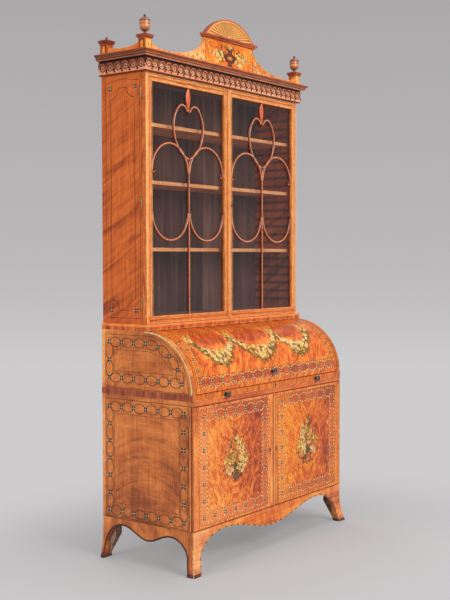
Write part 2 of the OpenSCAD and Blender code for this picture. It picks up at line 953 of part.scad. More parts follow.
// Solid with a moulding along its front and both sides, mitred at the corners.
// The outline holds [reach, height] from bottom to top, where the reach starts
// at the front face face_y and at the side faces half.
module returned_moulding(outline, half, face_y, z) {
  far = max([for (p = outline) p[0]]) + 1;
  low = outline[0][1];
  high = outline[len(outline) - 1][1];
  right = [for (p = outline) [half + p[0], p[1]]];
  intersection() {
    along_x(-half - far, half + far)
      translate([0, z])
        polygon(concat(
          [for (p = outline) [face_y - p[0], p[1]]],
          [[back_y, high], [back_y, low]]
        ));
    along_y(face_y - far, back_y)
      translate([0, z])
        polygon(concat(
          right,
          [for (i = [len(right) - 1:-1:0]) [-right[i][0], right[i][1]]]
        ));
  }
}

// Half round bead of a moulding, as [reach, height] about its middle height
function bead(reach, z, r, depth) =
  [for (a = [-90:15:90]) [reach + depth * cos(a), z + r * sin(a)]];

// Bookcase carcass
module waist_moulding() {
  bead_r = 5;
  bead_reach = 3;
  fillet = 2;
  reach = waist_reach - bead_reach;
  color(mahogany)
    difference() {
      returned_moulding(
        concat(
          [[reach, 0]],
          bead(reach, waist_h - bead_r - fillet, bead_r, bead_reach),
          [[reach, waist_h]]
        ),
        half_w + waist_side_reach - waist_reach, book_front_y, drum_top
      );
      board(-half_w, half_w, book_front_y, back_y + 1, drum_top - 1, book_z);
      board(-book_half, book_half, book_front_y, back_y + 1, book_z - 1, waist_top + 1);
    }
}

module bookcase_plinth() {
  color(carcass_wood) {
    board(-book_half, book_half, book_front_y, book_case_y - seam, book_z, waist_top);
    board(-book_in_x, book_in_x, book_case_y, book_case_y + board_t, book_z,
      book_floor_z - board_t);
  }
}

module bookcase_bottom() {
  color(carcass_wood)
    board(-book_in_x, book_in_x, book_case_y, back_face_y, book_floor_z - board_t, book_floor_z);
}

function groove_z(i) = book_floor_z + groove_first + i * groove_pitch;

module bookcase_sides() {
  color(satinwood)
    both_sides()
      along_y(book_case_y, back_y)
        polygon(concat(
          [[book_half, book_z], [book_half, cornice_z], [book_in_x, cornice_z]],
          [for (i = [grooves - 1:-1:0]) each [
            [book_in_x, groove_z(i) + groove_h],
            [book_in_x + groove_depth, groove_z(i) + groove_h],
            [book_in_x + groove_depth, groove_z(i)],
            [book_in_x, groove_z(i)]
          ]],
          [[book_in_x, book_z]]
        ));
}

module bookcase_back() {
  color(carcass_wood)
    back_planks(book_in_x, book_z, cornice_z);
}

module bookcase_shelves() {
  end_x = book_in_x + groove_depth - touch;
  color(satin_light)
    for (slot = shelf_slots)
      board(-end_x, end_x, book_case_y + shelf_inset, back_face_y, groove_z(slot),
        groove_z(slot) + shelf_t);
}

module bookcase_top() {
  color(carcass_wood)
    board(-book_in_x, book_in_x, frieze_y + frieze_board_t, back_face_y,
      frieze_z, frieze_z + board_t);
}

// Frieze and cornice
module frieze() {
  bead_r = 3;
  color(satinwood)
    difference() {
      returned_moulding(
        concat(bead(0, bead_r, bead_r, bead_r), [[0, frieze_h]]),
        frieze_half, frieze_y, frieze_z
      );
      board(-book_half, book_half, frieze_y + frieze_board_t, back_y + 1,
        frieze_z - 1, cornice_z + 1);
    }
}

// One run of round arches, drawn from left to right
module arcade_run(n, pitch) {
  arch_r = (pitch - arch_leg_w) / 2;
  crown_t = 4;
  difference() {
    translate([0, arcade_leg_h])
      square([n * pitch, frieze_h - arcade_leg_h]);
    for (i = [0:n - 1])
      translate([(i + 0.5) * pitch, frieze_h - crown_t - arch_r])
        circle(r = arch_r, $fn = 48);
  }
}

// Turned drop that hangs from its top face
module turned_drop() {
  r = drop_d / 2;
  rotate_extrude($fn = 32)
    polygon(concat(
      [[0, 0], [r * 0.7, 0], [r * 0.7, -1.5], [r * 0.4, -2.5]],
      [for (a = [60:-15:-75]) [r * cos(a), -3.2 - r * 0.87 + r * sin(a)]],
      [[0, -3.2 - r * 1.87]]
    ));
}

module frieze_arcade() {
  drop_out = drop_d / 2 + 0.6;
  color(satin_light) {
    along_y(frieze_y - arcade_t, frieze_y)
      translate([-frieze_half, frieze_z])
        arcade_run(arches, arch_pitch);
    both_sides()
      along_x(frieze_half, frieze_half + arcade_t)
        translate([frieze_y, frieze_z])
          arcade_run(side_arches, side_pitch);
    for (i = [1:arches - 1])
      translate([-frieze_half + i * arch_pitch, frieze_y - drop_out, arcade_leg_z])
        turned_drop();
    both_sides()
      for (i = [0:side_arches - 1])
        translate([frieze_half + drop_out, frieze_y + i * side_pitch, arcade_leg_z])
          turned_drop();
  }
}

// Cornice section from bottom to top, as shares of its reach and height:
// cove, fillet, corona, fillet, wave and top edge
function cornice_outline() = concat(
  [for (t = steps(6)) [0.4 * (1 - cos(90 * t)), 0.26 * sin(90 * t)]],
  [[0.48, 0.26], [0.48, 0.33], [0.6, 0.33], [0.6, 0.54], [0.67, 0.54], [0.67, 0.61]],
  [for (t = steps(10)) [0.71 + 0.23 * t - 0.035 * sin(360 * t), 0.61 + 0.28 * t]],
  [[1, 0.89], [1, 1]]
);

module cornice() {
  color(mahogany)
    difference() {
      returned_moulding(
        [for (p = cornice_outline()) [cornice_reach * p[0], cornice_h * p[1]]],
        frieze_half, frieze_y, cornice_z
      );
      board(-ring_in_x, ring_in_x, ring_in_y, back_y + 1, cornice_z - 1, crown_z + 1);
    }
}

module cornice_board() {
  color(carcass_wood)
    board(-ring_in_x, ring_in_x, ring_in_y, back_y, crown_z - dust_board_t, crown_z);
}

// Pediment
module pediment_tablet() {
  color(satin_light)
    board(-tablet_half, tablet_half, frieze_y, frieze_y + pediment_t, crown_z, cap_z);
}

module pediment_cap() {
  x1 = tablet_half + cap_reach;
  y0 = frieze_y - cap_reach;
  y1 = frieze_y + pediment_t;
  step = cap_reach * 0.4;
  step_z = cap_z + cap_h * 0.45;
  color(mahogany) {
    board(-x1 + step, x1 - step, y0 + step, y1, cap_z, step_z);
    board(-x1, x1, y0, y1, step_z, arch_base_z);
  }
}

module fan_segment(r) {
  intersection() {
    translate([0, fan_rise - fan_r])
      circle(r = r, $fn = 180);
    translate([-tablet_half, 0])
      square([2 * tablet_half, fan_rise]);
  }
}

// Ribs that spread from a half round boss in the middle of the arch base
module fan_ribs() {
  pitch = 180 / fan_ribs_n;
  reach = 2 * tablet_half;
  root = fan_hub_r - 2;
  flare = tan(pitch / 4);
  intersection() {
    fan_segment(fan_r - fan_border + 1);
    union() {
      circle(r = fan_hub_r, $fn = 64);
      for (i = [0:fan_ribs_n - 1])
        rotate((i + 0.5) * pitch)
          polygon([[root, -root * flare], [reach, -reach * flare],
            [reach, reach * flare], [root, root * flare]]);
    }
  }
}

module pediment_arch() {
  recess = 4;
  rib_t = 2.5;
  color(satin_light)
    translate([0, 0, arch_base_z]) {
      difference() {
        along_y(frieze_y - recess, frieze_y + pediment_t)
          fan_segment(fan_r);
        along_y(frieze_y - recess - 1, frieze_y - recess / 2)
          fan_segment(fan_r - fan_rim);
        along_y(frieze_y - recess - 1, frieze_y + recess)
          fan_segment(fan_r - fan_border);
      }
      along_y(frieze_y + recess - rib_t, frieze_y + recess + 1)
        fan_ribs();
    }
}

// Concave top edge of a board between two uprights, as [across, height]
function hollow_edge(x0, h0, x1, h1, low_x, low_h) = concat(
  [for (t = steps(curve_steps)) [
    low_x + (x0 - low_x) * cos(90 * t),
    low_h + (h0 - low_h) * (1 - sin(90 * t))
  ]],
  [for (i = [1:8]) [
    low_x + (x1 - low_x) * sin(90 * i / 8),
    low_h + (h1 - low_h) * (1 - cos(90 * i / 8))
  ]]
);

module scroll_boards() {
  setback = 1;
  top_h = tablet_h - 3;
  color(satin_light)
    both_sides()
      translate([0, 0, crown_z])
        along_y(frieze_y + setback, frieze_y + setback + scroll_t)
          polygon(concat(
            [[tablet_half, 0]],
            hollow_edge(tablet_half, top_h, scroll_end_x, scroll_end_h, scroll_low_x, scroll_low),
            [[scroll_end_x, 0]]
          ));
}

module gallery_boards() {
  y0 = pedestal_front_y + pedestal_w / 2;
  y1 = pedestal_back_y - pedestal_w / 2;
  x1 = frieze_half - 4;
  color(satinwood)
    both_sides()
      translate([0, 0, crown_z])
        along_x(x1 - gallery_t, x1)
          polygon(concat(
            [[y0, 0]],
            hollow_edge(y0, gallery_end_h, y1, gallery_end_h, (y0 + y1) / 2, gallery_low),
            [[y1, 0]]
          ));
}

module pedestal(x, y) {
  b = pedestal_w / 2;
  c = pedestal_cap_w / 2;
  neck = (b + c) / 2;
  zc = crown_z + pedestal_h;
  zn = zc + pedestal_cap_h * 0.35;
  board(x - b, x + b, y - b, y + b, crown_z, zc);
  board(x - neck, x + neck, y - neck, y + neck, zc, zn);
  board(x - c, x + c, y - c, y + c, zn, zc + pedestal_cap_h);
}

// Low pyramid and the peg that an urn is set on
module urn_peg() {
  half = pedestal_cap_w / 2 - 6;
  peg_r = 5;
  rise = 5;
  peg_h = 11;
  intersection() {
    along_x(-half, half)
      polygon([[-half, 0], [half, 0], [peg_r, rise], [-peg_r, rise]]);
    along_y(-half, half)
      polygon([[-half, 0], [half, 0], [peg_r, rise], [-peg_r, rise]]);
  }
  cylinder(r = peg_r, h = rise + peg_h, $fn = 32);
}

module pedestals() {
  color(satinwood)
    both_sides() {
      pedestal(pedestal_x, pedestal_front_y);
      pedestal(pedestal_x, pedestal_back_y);
      translate([pedestal_x, pedestal_back_y, crown_z + pedestal_h + pedestal_cap_h])
        urn_peg();
    }
}

module urn_turning() {
  r = urn_d / 2;
  h = urn_h;
  rotate_extrude($fn = 64)
    polygon(concat(
      [[0, 0], [r * 0.72, 0], [r * 0.72, h * 0.03], [r * 0.5, h * 0.055], [r * 0.25, h * 0.09],
        [r * 0.25, h * 0.125]],
      [for (a = [-80:16:0]) [r * cos(a), h * 0.38 + h * 0.25 * sin(a)]],
      [[r, h * 0.66], [r * 1.05, h * 0.68], [r * 1.05, h * 0.71], [r * 0.9, h * 0.73]],
      [for (a = [10:16:74]) [r * 0.86 * cos(a), h * 0.73 + h * 0.12 * sin(a)]],
      [[r * 0.16, h * 0.87], [r * 0.24, h * 0.92], [r * 0.2, h * 0.965], [0, h]]
    ));
}

module urns() {
  color(satinwood)
    both_sides()
      translate([pedestal_x, pedestal_front_y, crown_z + pedestal_h + pedestal_cap_h])
        urn_turning();
}

// Hinges, drawn for the right side with the joint line at the outer edge x
module knuckle(x, y, z0) {
  translate([x + pin_out, y, z0])
    cylinder(r = knuckle_r, h = knuckle_h, $fn = 32);
}

// Half of a hinge: the leaf at one side of the gap and its knuckles
module hinge_half(x, y, zc, toward_case) {
  z0 = zc - hinge_h / 2;
  pitch = knuckle_h + knuckle_gap;
  levels = toward_case ? [z0, z0 + 2 * pitch] : [z0 + pitch];
  leaf_y0 = toward_case ? y + 0.1 : y - 0.1 - leaf_t;
  difference() {
    union() {
      board(x - leaf_w, x, leaf_y0, leaf_y0 + leaf_t, z0, z0 + hinge_h);
      for (z = levels) {
        knuckle(x, y, z);
        board(x - eps, x + pin_out, leaf_y0, leaf_y0 + leaf_t, z, z + knuckle_h);
      }
    }
    translate([x + pin_out, y, z0 - 1])
      cylinder(r = hinge_pin_r + (toward_case ? 0.02 : running), h = hinge_h + 2, $fn = 32);
  }
}

module hinge_pin(x, y, zc) {
  translate([x + pin_out, y, zc - hinge_h / 2 - 1])
    cylinder(r = hinge_pin_r, h = hinge_h + 2, $fn = 32);
}

module case_hinges() {
  color(brass)
    both_sides() {
      for (z = upper_hinge_z) {
        hinge_half(book_half, upper_pin_y, z, true);
        hinge_pin(book_half, upper_pin_y, z);
      }
      for (z = lower_hinge_z) {
        hinge_half(half_w, lower_pin_y, z, true);
        hinge_pin(half_w, lower_pin_y, z);
      }
    }
}

module glazed_hinges() {
  color(brass)
    for (z = upper_hinge_z)
      hinge_half(book_half, upper_pin_y, z, false);
}

module cupboard_hinges() {
  color(brass)
    for (z = lower_hinge_z)
      hinge_half(half_w, lower_pin_y, z, false);
}

// Glazed doors, drawn for the right side
module glazed_frame() {
  x0 = meeting_gap / 2;
  back_cut = door_back_y + 1;
  color(satinwood) {
    difference() {
      board(x0, pane_x0, book_front_y, door_back_y, door_z, door_top);
      board(pane_x0 - rebate, pane_x0 + 1, glass_y, back_cut, pane_z0 - rebate, pane_z1 + rebate);
    }
    difference() {
      board(pane_x1, book_half, book_front_y, door_back_y, door_z, door_top);
      board(pane_x1 - 1, pane_x1 + rebate, glass_y, back_cut, pane_z0 - rebate, pane_z1 + rebate);
    }
    difference() {
      board(pane_x0 + seam, pane_x1 - seam, book_front_y, door_back_y, door_z, pane_z0);
      board(pane_x0 - 1, pane_x1 + 1, glass_y, back_cut, pane_z0 - rebate, pane_z0 + 1);
    }
    difference() {
      board(pane_x0 + seam, pane_x1 - seam, book_front_y, door_back_y, pane_z1, door_top);
      board(pane_x0 - 1, pane_x1 + 1, glass_y, back_cut, pane_z1 - 1, pane_z1 + rebate);
    }
  }
}

module glazed_pane() {
  color(glass)
    board(pane_x0 - glass_lap, pane_x1 + glass_lap, glass_y, glass_y + glass_t,
      pane_z0 - glass_lap, pane_z1 + glass_lap);
}

// Bar bent to an arc about [x, z], from angle a0 to angle a1, as a flat band
module bar_arc(x, z, r, a0, a1, w) {
  reach = 2 * r;
  n = ceil((a1 - a0) / 60);
  translate([x, z])
    intersection() {
      difference() {
        circle(r = r + w / 2, $fn = 96);
        circle(r = r - w / 2, $fn = 96);
      }
      polygon(concat([[0, 0]], [for (i = [0:n])
        [reach * cos(a0 + (a1 - a0) * i / n), reach * sin(a0 + (a1 - a0) * i / n)]]));
    }
}

module heart_half(w) {
  bar_arc(heart_half_w - heart_low_r, heart_wide_z, heart_low_r, -heart_low_angle, 0.1, w);
  bar_arc(heart_half_w - heart_mid_r, heart_wide_z, heart_mid_r, 0, heart_turn + 0.1, w);
  bar_arc(lobe_x, lobe_z, heart_top_r, heart_turn, lobe_end, w);
}

module loop_half(w) {
  curl_w = w * 0.62;
  bar_arc(loop_x, loop_z0, loop_r, 180, 360, w);
  bar_arc(loop_x, loop_z1, loop_r, 0, 180, w);
  bar_arc(loop_x + loop_r - curl_r, loop_z1, curl_r, -185, 1, curl_w);
}

// Buds and bosses of the tracery, drawn a margin smaller for the upper step
module tracery_bosses(margin) {
  point_r = boss_r * 1.2;
  tip_r = boss_r * 0.8;
  translate([0, loop_z0])
    circle(r = boss_r - margin, $fn = 48);
  translate([0, heart_z - 2])
    circle(r = point_r - margin, $fn = 48);
  both_ways() {
    translate([loop_x + loop_r - 1, loop_z0 + 5])
      circle(r = tip_r - margin, $fn = 48);
    translate([loop_x + loop_r - 2 * curl_r, loop_z1 + 4])
      circle(r = tip_r - 1 - margin, $fn = 48);
  }
}

// Bud that rises from the cleft of the heart to the top rail
module bud(margin) {
  half = bud_half_w - margin;
  foot = lobe_in_x - bar_w / 2 + 0.7;
  z0 = lobe_z + heart_top_r * 0.15;
  rise = pane_z1 - z0;
  edge = [for (t = steps(curve_steps))
    [foot * (1 - t) + half * 0.9 * sin(180 * pow(t, 1.4)), z0 + rise * t]];
  polygon(concat(edge, [for (i = [curve_steps:-1:0]) [-edge[i].x, edge[i].y]]));
}

// All the bars of one door as one flat pattern, with bars of width w
module tracery_pattern(w) {
  margin = (bar_w - w) / 2;
  translate([-w / 2, pane_z0])
    square([w, heart_z - pane_z0]);
  both_ways() {
    loop_half(w);
    heart_half(w);
  }
  tracery_bosses(margin);
  bud(margin);
}

// The bars are stepped: a broad fillet on the glass and a narrower nosing on it
module tracery() {
  fillet_d = bar_d * 0.55;
  color(mahogany)
    translate([stem_x, 0, 0]) {
      along_y(glass_y - fillet_d, glass_y)
        tracery_pattern(bar_w);
      along_y(glass_y - bar_d, glass_y - fillet_d)
        tracery_pattern(bar_w * 0.6);
    }
}

// Half round bead down the meeting edge
module meeting_bead() {
  r = bead_w / 2;
  color(mahogany)
    translate([meeting_gap / 2 + r, book_front_y - seam, door_z])
      linear_extrude(door_top - door_z)
        intersection() {
          circle(r = r, $fn = 48);
          translate([-r, -r * 0.7])
            square([2 * r, r * 0.7]);
        }
}

module glazed_frame_left() {
  mirror([1, 0, 0])
    glazed_frame();
}

module glazed_pane_left() {
  mirror([1, 0, 0])
    glazed_pane();
}

module tracery_left() {
  mirror([1, 0, 0])
    tracery();
}

module glazed_hinges_left() {
  mirror([1, 0, 0])
    glazed_hinges();
}

module glazed_frame_right() {
  glazed_frame();
  meeting_bead();
}

module glazed_pane_right() {
  glazed_pane();
}

module tracery_right() {
  tracery();
}

module glazed_hinges_right() {
  glazed_hinges();
}

// Cupboard doors
module cupboard_door() {
  color(satinwood)
    board(meeting_gap / 2, half_w, front_y, front_y + low_door_t, low_door_z, low_door_top);
}

module cupboard_door_left() {
  mirror([1, 0, 0])
    cupboard_door();
}

module cupboard_door_right() {
  cupboard_door();
}

module cupboard_hinges_left() {
  mirror([1, 0, 0])
    cupboard_hinges();
}

module cupboard_hinges_right() {
  cupboard_hinges();
}

module cupboard_bead() {
  r = low_bead_w / 2;
  inset = 5;
  end_gap = 12;
  color(brass)
    translate([meeting_gap / 2 + inset + r, front_y, low_door_z + end_gap])
      linear_extrude(low_door_top - low_door_z - 2 * end_gap)
        intersection() {
          circle(r = r, $fn = 32);
          translate([-r, -r])
            square([2 * r, r]);
        }
}

front_feet();
back_feet();
foot_blocks();
apron_front();
apron_sides();
desk_sides();
desk_bottom();
desk_back();
cupboard_shelf();
door_rail();
dust_board();
slide_runners();
waist_bands();
desk_top();
nest_case();
nest_partitions();
nest_valances();
waist_moulding();
bookcase_plinth();
bookcase_bottom();
bookcase_sides();
bookcase_back();
bookcase_shelves();
bookcase_top();
frieze();
frieze_arcade();
cornice();
cornice_board();
pediment_tablet();
pediment_cap();
pediment_arch();
scroll_boards();
gallery_boards();
pedestals();
urns();
case_hinges();
fall_pivots();
fall();
fall_arms();
fall_knob();
writing_slide();
slide_leather();
slide_knobs();
glazed_frame_left();
glazed_pane_left();
tracery_left();
glazed_hinges_left();
glazed_frame_right();
glazed_pane_right();
tracery_right();
glazed_hinges_right();
cupboard_door_left();
cupboard_hinges_left();
cupboard_door_right();
cupboard_hinges_right();
cupboard_bead();
drawer(1);  // drawer_1
drawer(2);  // drawer_2
drawer(3);  // drawer_3
drawer(4);  // drawer_4
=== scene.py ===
import random
from math import asin, atan2, ceil, cos, degrees, dist, hypot, pi, radians, sin, sqrt, tau

import bmesh
import bpy
from mathutils import Matrix, Vector


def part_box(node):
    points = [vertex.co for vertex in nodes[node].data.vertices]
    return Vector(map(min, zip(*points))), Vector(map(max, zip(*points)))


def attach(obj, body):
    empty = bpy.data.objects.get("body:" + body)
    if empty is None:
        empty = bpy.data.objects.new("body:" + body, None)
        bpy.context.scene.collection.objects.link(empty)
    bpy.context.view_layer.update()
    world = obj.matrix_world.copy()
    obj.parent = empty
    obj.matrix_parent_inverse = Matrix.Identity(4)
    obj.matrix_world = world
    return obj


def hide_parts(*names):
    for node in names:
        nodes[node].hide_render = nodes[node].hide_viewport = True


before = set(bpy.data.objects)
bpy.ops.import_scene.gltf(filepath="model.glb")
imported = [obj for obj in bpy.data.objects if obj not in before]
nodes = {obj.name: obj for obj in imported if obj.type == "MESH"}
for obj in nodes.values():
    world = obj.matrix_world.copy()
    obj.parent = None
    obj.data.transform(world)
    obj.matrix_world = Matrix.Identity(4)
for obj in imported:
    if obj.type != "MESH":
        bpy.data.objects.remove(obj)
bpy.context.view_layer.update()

# Planes of the piece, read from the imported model
DOOR_LOW, DOOR_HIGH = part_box("cupboard_door_right")
BOOK_LOW, BOOK_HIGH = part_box("bookcase_sides")
PANE_LOW, PANE_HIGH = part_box("glazed_pane_right")
FRAME_LOW, FRAME_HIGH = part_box("glazed_frame_right")
TABLET_LOW, TABLET_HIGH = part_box("pediment_tablet")
ARCH_LOW, ARCH_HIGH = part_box("pediment_arch")
CORNICE_LOW, CORNICE_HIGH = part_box("cornice")
MOULD_LOW, MOULD_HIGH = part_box("waist_moulding")
SLIDE_LOW, SLIDE_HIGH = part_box("writing_slide")
URN_LOW, URN_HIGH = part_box("urns")
BARS_LOW, BARS_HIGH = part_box("tracery_right")

FRONT_Y = DOOR_LOW.y
CASE_HALF, BACK_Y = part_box("desk_sides")[1].xy
BOOK_HALF = BOOK_HIGH.x
BOOK_FRONT = FRAME_LOW.y
FRIEZE_Y = TABLET_LOW.y
CROWN_Z = TABLET_LOW.z

# Sizes of the solids that no box of a node gives
DESK_Z = 0.77
PLINTH_Z = 0.186
FRIEZE_HALF = 0.606
REBATE = 0.006
BACK_BOARDS = 5

# The curved fall: its radius, and how far back it turns
FALL_R = 0.2585
AXIS_Y = FRONT_Y + 0.26

# Strings of the right cupboard door: low and high X, low and high Z
OUTER_STRING = (0.044, CASE_HALF - 0.047, DOOR_LOW.z + 0.015, DOOR_HIGH.z - 0.014)
INNER_STRING = (0.097, CASE_HALF - 0.103, DOOR_LOW.z + 0.067, DOOR_HIGH.z - 0.07)

# The swags hang from hooks along the fall, and the veneer is ruddy between them
HOOKS = (-0.478, -0.195, 0.152, 0.432)

# The band of the fall's lower chain, as ways down from its top, and where the upright strings beside it stand
CHAIN_TOP = 0.335
CHAIN_FOOT = 0.384
CHAIN_SIDE = 0.519

# The fan arch over the tablet
ARCH_RISE = ARCH_HIGH.z - ARCH_LOW.z
ARCH_R = (TABLET_HIGH.x ** 2 + ARCH_RISE ** 2) / (2 * ARCH_RISE)

# The arcade of the frieze
FRONT_ARCHES = 28
SIDE_ARCHES = 6
FRONT_PITCH = 2 * FRIEZE_HALF / FRONT_ARCHES
SIDE_PITCH = (BACK_Y - FRIEZE_Y) / SIDE_ARCHES
ARCH_OPEN = FRONT_PITCH / 2 - 0.0035
ARCH_MIDDLE = CORNICE_LOW.z - 0.004 - ARCH_OPEN
ARCADE_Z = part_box("frieze_arcade")[0].z

# Inlay stands a hair above the veneer and reaches a little into it
LIFT = 0.00008
LAYER = 0.000003
LAYERS = 90
SINK = 0.00006

SIDES = ((-1, "left"), (1, "right"))

# Woods, from dark to pale, as hexadecimal tints
SATINWOOD = "842c0e be4e18 e27424 f2943a f8ba62".split()
GOLDEN = "963e0e d46616 f08422 faa642".split()
PEACH = "aa5a32 e08850 f2a468 fac48e".split()
APRICOT = "b05824 e2863e f4a458 fcc482".split()
STRAIGHT = "a8481c d8702c ee8e40 f8ae62".split()
STILE = "bc602c e88a44 f6a860 fcc486".split()
BANDED = "7e2c0a bc5212 e0761c f09832".split()
RUDDY = "782a12 b24c1e d6682a ea8844".split()
AGED = "8c3e16 c46226 e27e36 f29e50".split()
MELLOW = "8e4620 c66c30 e48a44 f6aa62".split()
MAHOGANY = "481c10 8a3e22 be6038 e48c5a".split()
PURPLE = "461a14 783220 ac542e da7c44".split()
BLUSH = "b86040 e68e62 f4a87c fcc49c".split()
FANNED = "b26828 e29e4e f5bc68 fcd48e".split()
PLAIN = "4a2c22 7a503e 986a54 b4886e".split()
# The carcass wood darkened as painted shade, for the inside of the backs
PLAIN_IN_SHADE = "2c1814 4e2e26 684236 805848".split()
ROUGH = "463228 7a5e4c a0826c bea28c".split()
BRASS = "604228 b0865c debc92".split()
LACQUERED = "aa6e3c e8b06c fad496".split()
BRONZE = "2a2626 6e6866 cec8c4".split()
LEATHER = "1e2c1a 344626 546036".split()

# Tints of the inlaid and painted pieces
IVORY = "f6e0ac"
STRAW = "f0ce8c"
CREAM = "fae696"
PRIMROSE = "f4ce5c"
OCHRE = "ce9032"
AMBER = "be6824"
OLIVE = "706028"
MOSS = "424428"
UMBER = "5c2e18"
EBONY = "1a1212"
ROSE = "eca07c"
# Tints of the glazing bars: the dark ones paint shade on their flanks, the pale one a highlight on their
# ridges
BAR_EDGE = "46221a"
BAR_DARK = "763420"
BAR_MID = "be6034"
BAR_PALE = "f6c49e"


# Flowers by the tints of their petals' edges, their petals' middles and their hearts
FLOWERS = [(PRIMROSE, CREAM, AMBER), (CREAM, IVORY, OCHRE), (OCHRE, PRIMROSE, UMBER), (ROSE, IVORY, AMBER)]

# Tints that follow one another round the ovals of a chain
FRONT_CHAIN = [STRAW, IVORY, STRAW, UMBER]
SIDE_CHAIN = [EBONY, UMBER, UMBER]


def srgb(tint):
    """A hexadecimal tint as the linear values that a shader takes. Anything else stays as it is."""
    def linear(c):
        c /= 255
        return c / 12.92 if c <= 0.04045 else ((c + 0.055) / 1.055) ** 2.4
    return (*map(linear, bytes.fromhex(tint)), 1.0) if isinstance(tint, str) else tint


class Value:
    """The output of a shader node, ready for arithmetic."""

    def __init__(self, finish, socket):
        self.finish = finish
        self.socket = socket

    def math(self, operation, *others):
        """A node of mathematics on this value and others."""
        return self.finish.node("ShaderNodeMath", {"operation": operation}, (self, *others))

    def __add__(self, other):
        return self.math("ADD", other)

    def __sub__(self, other):
        return self.math("SUBTRACT", other)

    def __rsub__(self, other):
        return self.finish.node("ShaderNodeMath", {"operation": "SUBTRACT"}, (other, self))

    def __mul__(self, other):
        return self.math("MULTIPLY", other)

    def __gt__(self, other):
        return self.math("GREATER_THAN", other)

    def __lt__(self, other):
        return self.math("LESS_THAN", other)

    def __abs__(self):
        return self.math("ABSOLUTE")

    __radd__ = __add__
    __rmul__ = __mul__

    def root(self):
        return self.math("SQRT")

    def least(self, *others):
        found = self
        for other in others:
            found = found.math("MINIMUM", other)
        return found

    def turn_to(self, other):
        """The angle of a point that lies this far up and the other value across."""
        return self.math("ARCTAN2", other)


class Finish:
    """One material, with its nodes and the place on the piece that they read."""

    def __init__(self, name):
        self.material = bpy.data.materials.new(name)
        self.material.use_nodes = True
        self.tree = self.material.node_tree
        self.tree.nodes.clear()
        place = self.node("ShaderNodeTexCoord", out="Object")
        self.x, self.y, self.z = self.node("ShaderNodeSeparateXYZ", inputs=[place], out=(0, 1, 2))

    def node(self, kind, settings=None, inputs=(), out=0):
        """A node: first its settings, then values or links for its inputs, then what it gives."""
        made = self.tree.nodes.new(kind)
        for key, value in (settings or {}).items():
            if key == "stops":
                for i, (at, tint) in enumerate(value):
                    stop = made.color_ramp.elements[i] if i < 2 else made.color_ramp.elements.new(at)
                    stop.position = at
                    stop.color = srgb(tint)
            else:
                setattr(made, key, value)
        for key, value in inputs.items() if isinstance(inputs, dict) else enumerate(inputs):
            if isinstance(value, Value):
                self.tree.links.new(value.socket, made.inputs[key])
            elif value is not None:
                made.inputs[key].default_value = srgb(value)
        if isinstance(out, tuple):
            return tuple(Value(self, made.outputs[i]) for i in out)
        return Value(self, made.outputs[out]) if made.outputs else None

    def point(self, x, y, z=0.0):
        return self.node("ShaderNodeCombineXYZ", inputs=[x, y, z])

    def noise(self, x, y, z=0.0, detail=2.0, distortion=0.0):
        """Cloudy values about zero, from -0.5 to 0.5."""
        return self.node("ShaderNodeTexNoise", inputs={
            "Vector": self.point(x, y, z), "Scale": 1.0, "Detail": detail, "Distortion": distortion}) - 0.5

    def even_noise(self, scale, detail=2.0, distortion=0.0):
        return self.noise(self.x * scale, self.y * scale, self.z * scale, detail, distortion)

    def ease(self, value, low, high):
        """Goes smoothly from 0 to 1 while the value goes from low to high."""
        return self.node("ShaderNodeMapRange", {"interpolation_type": "SMOOTHSTEP"}, {
            "Value": value, "From Min": low, "From Max": high})

    def fade(self, value, low, high):
        """Goes smoothly from 1 to 0 while the value goes from low to high."""
        return 1 - self.ease(value, low, high)

    def ramp(self, value, colours, low=0.25, high=0.75):
        """Colours from dark to pale as the value goes from low to high."""
        last = len(colours) - 1
        stops = [(low + (high - low) * i / last, c) for i, c in enumerate(colours)]
        return self.node("ShaderNodeValToRGB", {"stops": stops}, [value])

    def levels(self, value, low, high, bands):
        """Bands of colour, each written as its share of the way from low to high and its tint."""
        share = self.node("ShaderNodeMapRange", inputs={"Value": value, "From Min": low, "From Max": high})
        stops = [(float(at), tint) for at, tint in (band.split() for band in bands.split(","))]
        return self.node("ShaderNodeValToRGB", {"stops": stops}, [share])

    def mix(self, first, second, share, blend="MIX"):
        return self.node("ShaderNodeMix", {"data_type": "RGBA", "blend_type": blend},
                         {0: share, 6: first, 7: second}, out=2)

    def stain(self, colour, tint, share=1.0):
        """A colour with a tint over it, as a dark polish lies over wood."""
        return self.mix(colour, tint, share, "MULTIPLY")

    def polished(self, colour, tone, roughness=0.36, depth=0.00012, coat=0.3, metal=0.0):
        """The last step of a material: a polished surface, smoother and higher where the tone is pale."""
        normal = self.node("ShaderNodeBump", inputs={"Strength": 1.0, "Distance": depth, "Height": tone})
        return self.show(self.node("ShaderNodeBsdfPrincipled", inputs={
            "Base Color": colour, "Roughness": roughness + 0.1 - tone * 0.2, "Metallic": metal,
            "Specular IOR Level": 0.32, "Coat Weight": coat, "Coat Roughness": 0.16, "Normal": normal}))

    def show(self, shader):
        self.node("ShaderNodeOutputMaterial", inputs={"Surface": shader})
        return self.material


def choose(first, second, share):
    """Goes from the first value to the second as the share goes from 0 to 1."""
    return first + (second - first) * share


def sawn(f, along, across, depth, colours, stripe, curl, patch, seed=0.0):
    """Colour and tone of wood whose fibres run along the first direction."""
    rings = f.noise(along * 1.6 + seed, across * stripe, depth * stripe, 3.0, 0.5)
    fibres = f.noise(along * 11 + seed, across * 300, depth * 300, 3.0)
    ripple = f.noise(along * 46 + across * 9, across * 7 + seed, depth * 7, 2.0, 0.8)
    cloud = f.noise(along * 5 + seed, across * 6, depth * 6)
    tone = rings * 0.55 + fibres * 0.42 + ripple * curl + cloud * patch + 0.5
    return f.ramp(tone, colours), tone


def wood(name, colours, stripe, curl, patch, roughness=0.36, coat=0.3, upright=False):
    """Solid wood with its grain across the piece, or upright."""
    f = Finish(name)
    along, across = (f.z, f.x) if upright else (f.x, f.z)
    colour, tone = sawn(f, along, across, f.y, colours, stripe, curl, patch)
    return f.polished(colour, tone, roughness, 0.00015, coat)


